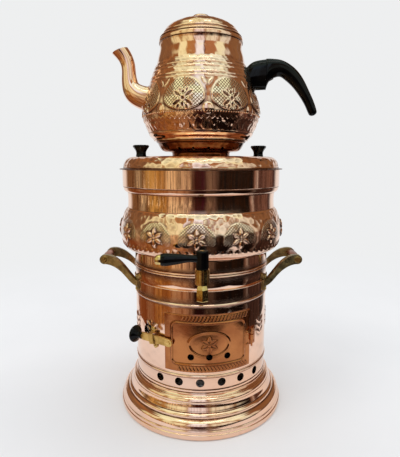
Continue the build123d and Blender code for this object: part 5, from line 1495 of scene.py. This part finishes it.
# low: what upright walls mirror
low = bands((-180, PALE), (-143, PALE), (-133, (0.30, 0.17, 0.08)), (-110, (0.18, 0.09, 0.035)),
            (-99, (0.45, 0.36, 0.22)), (-93, (0.4, 0.3, 0.16)), (-88, (0.16, 0.07, 0.02)),
            (-78, (0.70, 0.44, 0.12)), (-62, (0.50, 0.27, 0.06)), (-54, (0.46, 0.24, 0.06)),
            (-45, (0.85, 0.66, 0.38)), (-33, (0.65, 0.48, 0.27)), (-22, (0.60, 0.44, 0.28)),
            (-13, (0.25, 0.15, 0.10)), (-8, (0.05, 0.008, 0.008)), (5, (0.04, 0.006, 0.012)),
            (10, (0.24, 0.16, 0.10)), (20, (0.16, 0.10, 0.07)), (26, SHADE), (77, SHADE),
            (81, (0.25, 0.14, 0.10)), (85, (0.75, 0.66, 0.60)), (88, (0.10, 0.05, 0.04)),
            (117, (0.22, 0.12, 0.09)), (128, (0.05, 0.03, 0.03)), (141, PALE), (180, PALE))
low = sky.mix(streaks(24.0, 0.44, 0.54, 1.0), sky.mix(0.72, low, (0.03, 0.012, 0.004)), low)
low = sky.mix(streaks(34.0, 0.57, 0.63, 4.0) * turn.ease(-112, -104) * turn.ease(-16, -12, 1.0, 0.0), low,
              (1.0, 0.80, 0.46))
dark = sky.mix(turn.ease(-30, -8), (0.22, 0.055, 0.012), (0.003, 0.002, 0.002))
low = sky.mix(rise.ease(-20, -9, 0.66, 0.0), low, dark)
# high: what shoulders and flares mirror
high = bands((-180, PALE), (-143, PALE), (-130, BROWN), (-92, BROWN), (-84, (0.80, 0.85, 0.55)),
             (-62, (0.95, 1.0, 0.65)), (-56, (0.45, 0.30, 0.13)), (-50, (0.90, 0.98, 0.62)),
             (-24, (0.95, 1.0, 0.70)), (-19, (0.50, 0.36, 0.20)), (-14, (0.92, 1.0, 1.15)),
             (6, (0.92, 1.0, 1.15)), (10, (0.35, 0.22, 0.14)), (16, (0.85, 0.98, 0.85)),
             (44, (0.90, 1.0, 0.95)), (50, (0.40, 0.26, 0.14)), (56, (0.85, 0.98, 0.90)),
             (82, (0.80, 0.90, 0.85)), (90, BROWN), (126, BROWN), (141, PALE), (180, PALE))
high = sky.mix(1 - streaks(13.0, 0.34, 0.56, 11.0), high, sky.mix(0.5, high, (0.30, 0.17, 0.07)))
bright = sky.mix(turn.ease(-60, 40), (1.0, 1.22, 0.90), (1.0, 1.30, 1.20))
top = bands((-180, BROWN), (-150, (0.34, 0.17, 0.07)), (-72, (0.30, 0.14, 0.05)), (-65, (1.0, 1.15, 0.80)),
            (-46, (0.95, 1.10, 0.75)), (-41, (0.50, 0.28, 0.10)), (-18, (0.45, 0.24, 0.10)),
            (-14, (1.0, 1.25, 1.5)), (7, (1.0, 1.25, 1.5)), (10, (0.15, 0.06, 0.05)),
            (14, (0.42, 0.22, 0.10)), (44, (0.45, 0.24, 0.12)), (48, (0.95, 1.15, 0.90)),
            (70, (0.92, 1.10, 0.85)), (78, (0.25, 0.12, 0.05)), (180, BROWN))
top = sky.mix(rise.ease(46, 50), top, sky.mix(abs(turn).ease(80, 100), bright, BROWN))
roof = sky.mix(streaks(9.0, 0.34, 0.52, 11.0), (0.50, 0.36, 0.16), bright)
room = sky.mix(rise.ease(2.0, 9.0), low, high)
room = sky.mix(rise.ease(10, 14) * abs(turn).ease(124, 130) * abs(turn).ease(148, 156, 1.0, 0.0), room, BROWN)
room = sky.mix(rise.ease(30, 38), room, top)
room = sky.mix(rise.ease(54, 64), room, roof)
strip = rise.ease(69.5, 70.5) * rise.ease(72.0, 73.0, 1.0, 0.0) * abs(turn).ease(60, 80, 1.0, 0.0)
room = sky.mix(strip * streaks(7.0, 0.36, 0.46, 31.0), room, (6.0, 5.8, 5.3))
below = sky.mix(rise.ease(-60, -40), (0.24, 0.13, 0.07), room)
path = sky.node("ShaderNodeLightPath", {}, {}, "Is Camera Ray")
rays = path.socket.node.outputs
glossy = Value(sky, rays["Is Glossy Ray"]).larger(Value(sky, rays["Is Transmission Ray"]))
seen = sky.mix(path, (0.92, 0.93, 0.95), PALE)
seen = sky.mix(glossy, seen, below)
air = sky.node("ShaderNodeBackground", {}, {"Color": seen, "Strength": 1.0}, "Background")
out = sky.nodes.new("ShaderNodeOutputWorld")
sky.links.new(air.socket, out.inputs["Surface"])
print("surround done")

# %% [markdown]
# Two large soft lamps above give the shadows under the rims and on the floor a direction. Mirrors don't show
# them.

# %% Lamps
def lamp(name, place, size, power):
    data = bpy.data.lights.new(name, "AREA")
    data.shape, data.size, data.energy = "DISK", size, power
    thing = placed(name, data)
    thing.location = place
    thing.rotation_euler = (Vector((0, 0, 0.28)) - Vector(place)).to_track_quat("-Z", "Y").to_euler()
    thing.visible_glossy = False


lamp("soft_left", (-0.9, -0.65, 2.1), 0.7, 6.0)
lamp("soft_right", (0.9, 0.1, 2.2), 0.7, 4.0)
print("lamps done")
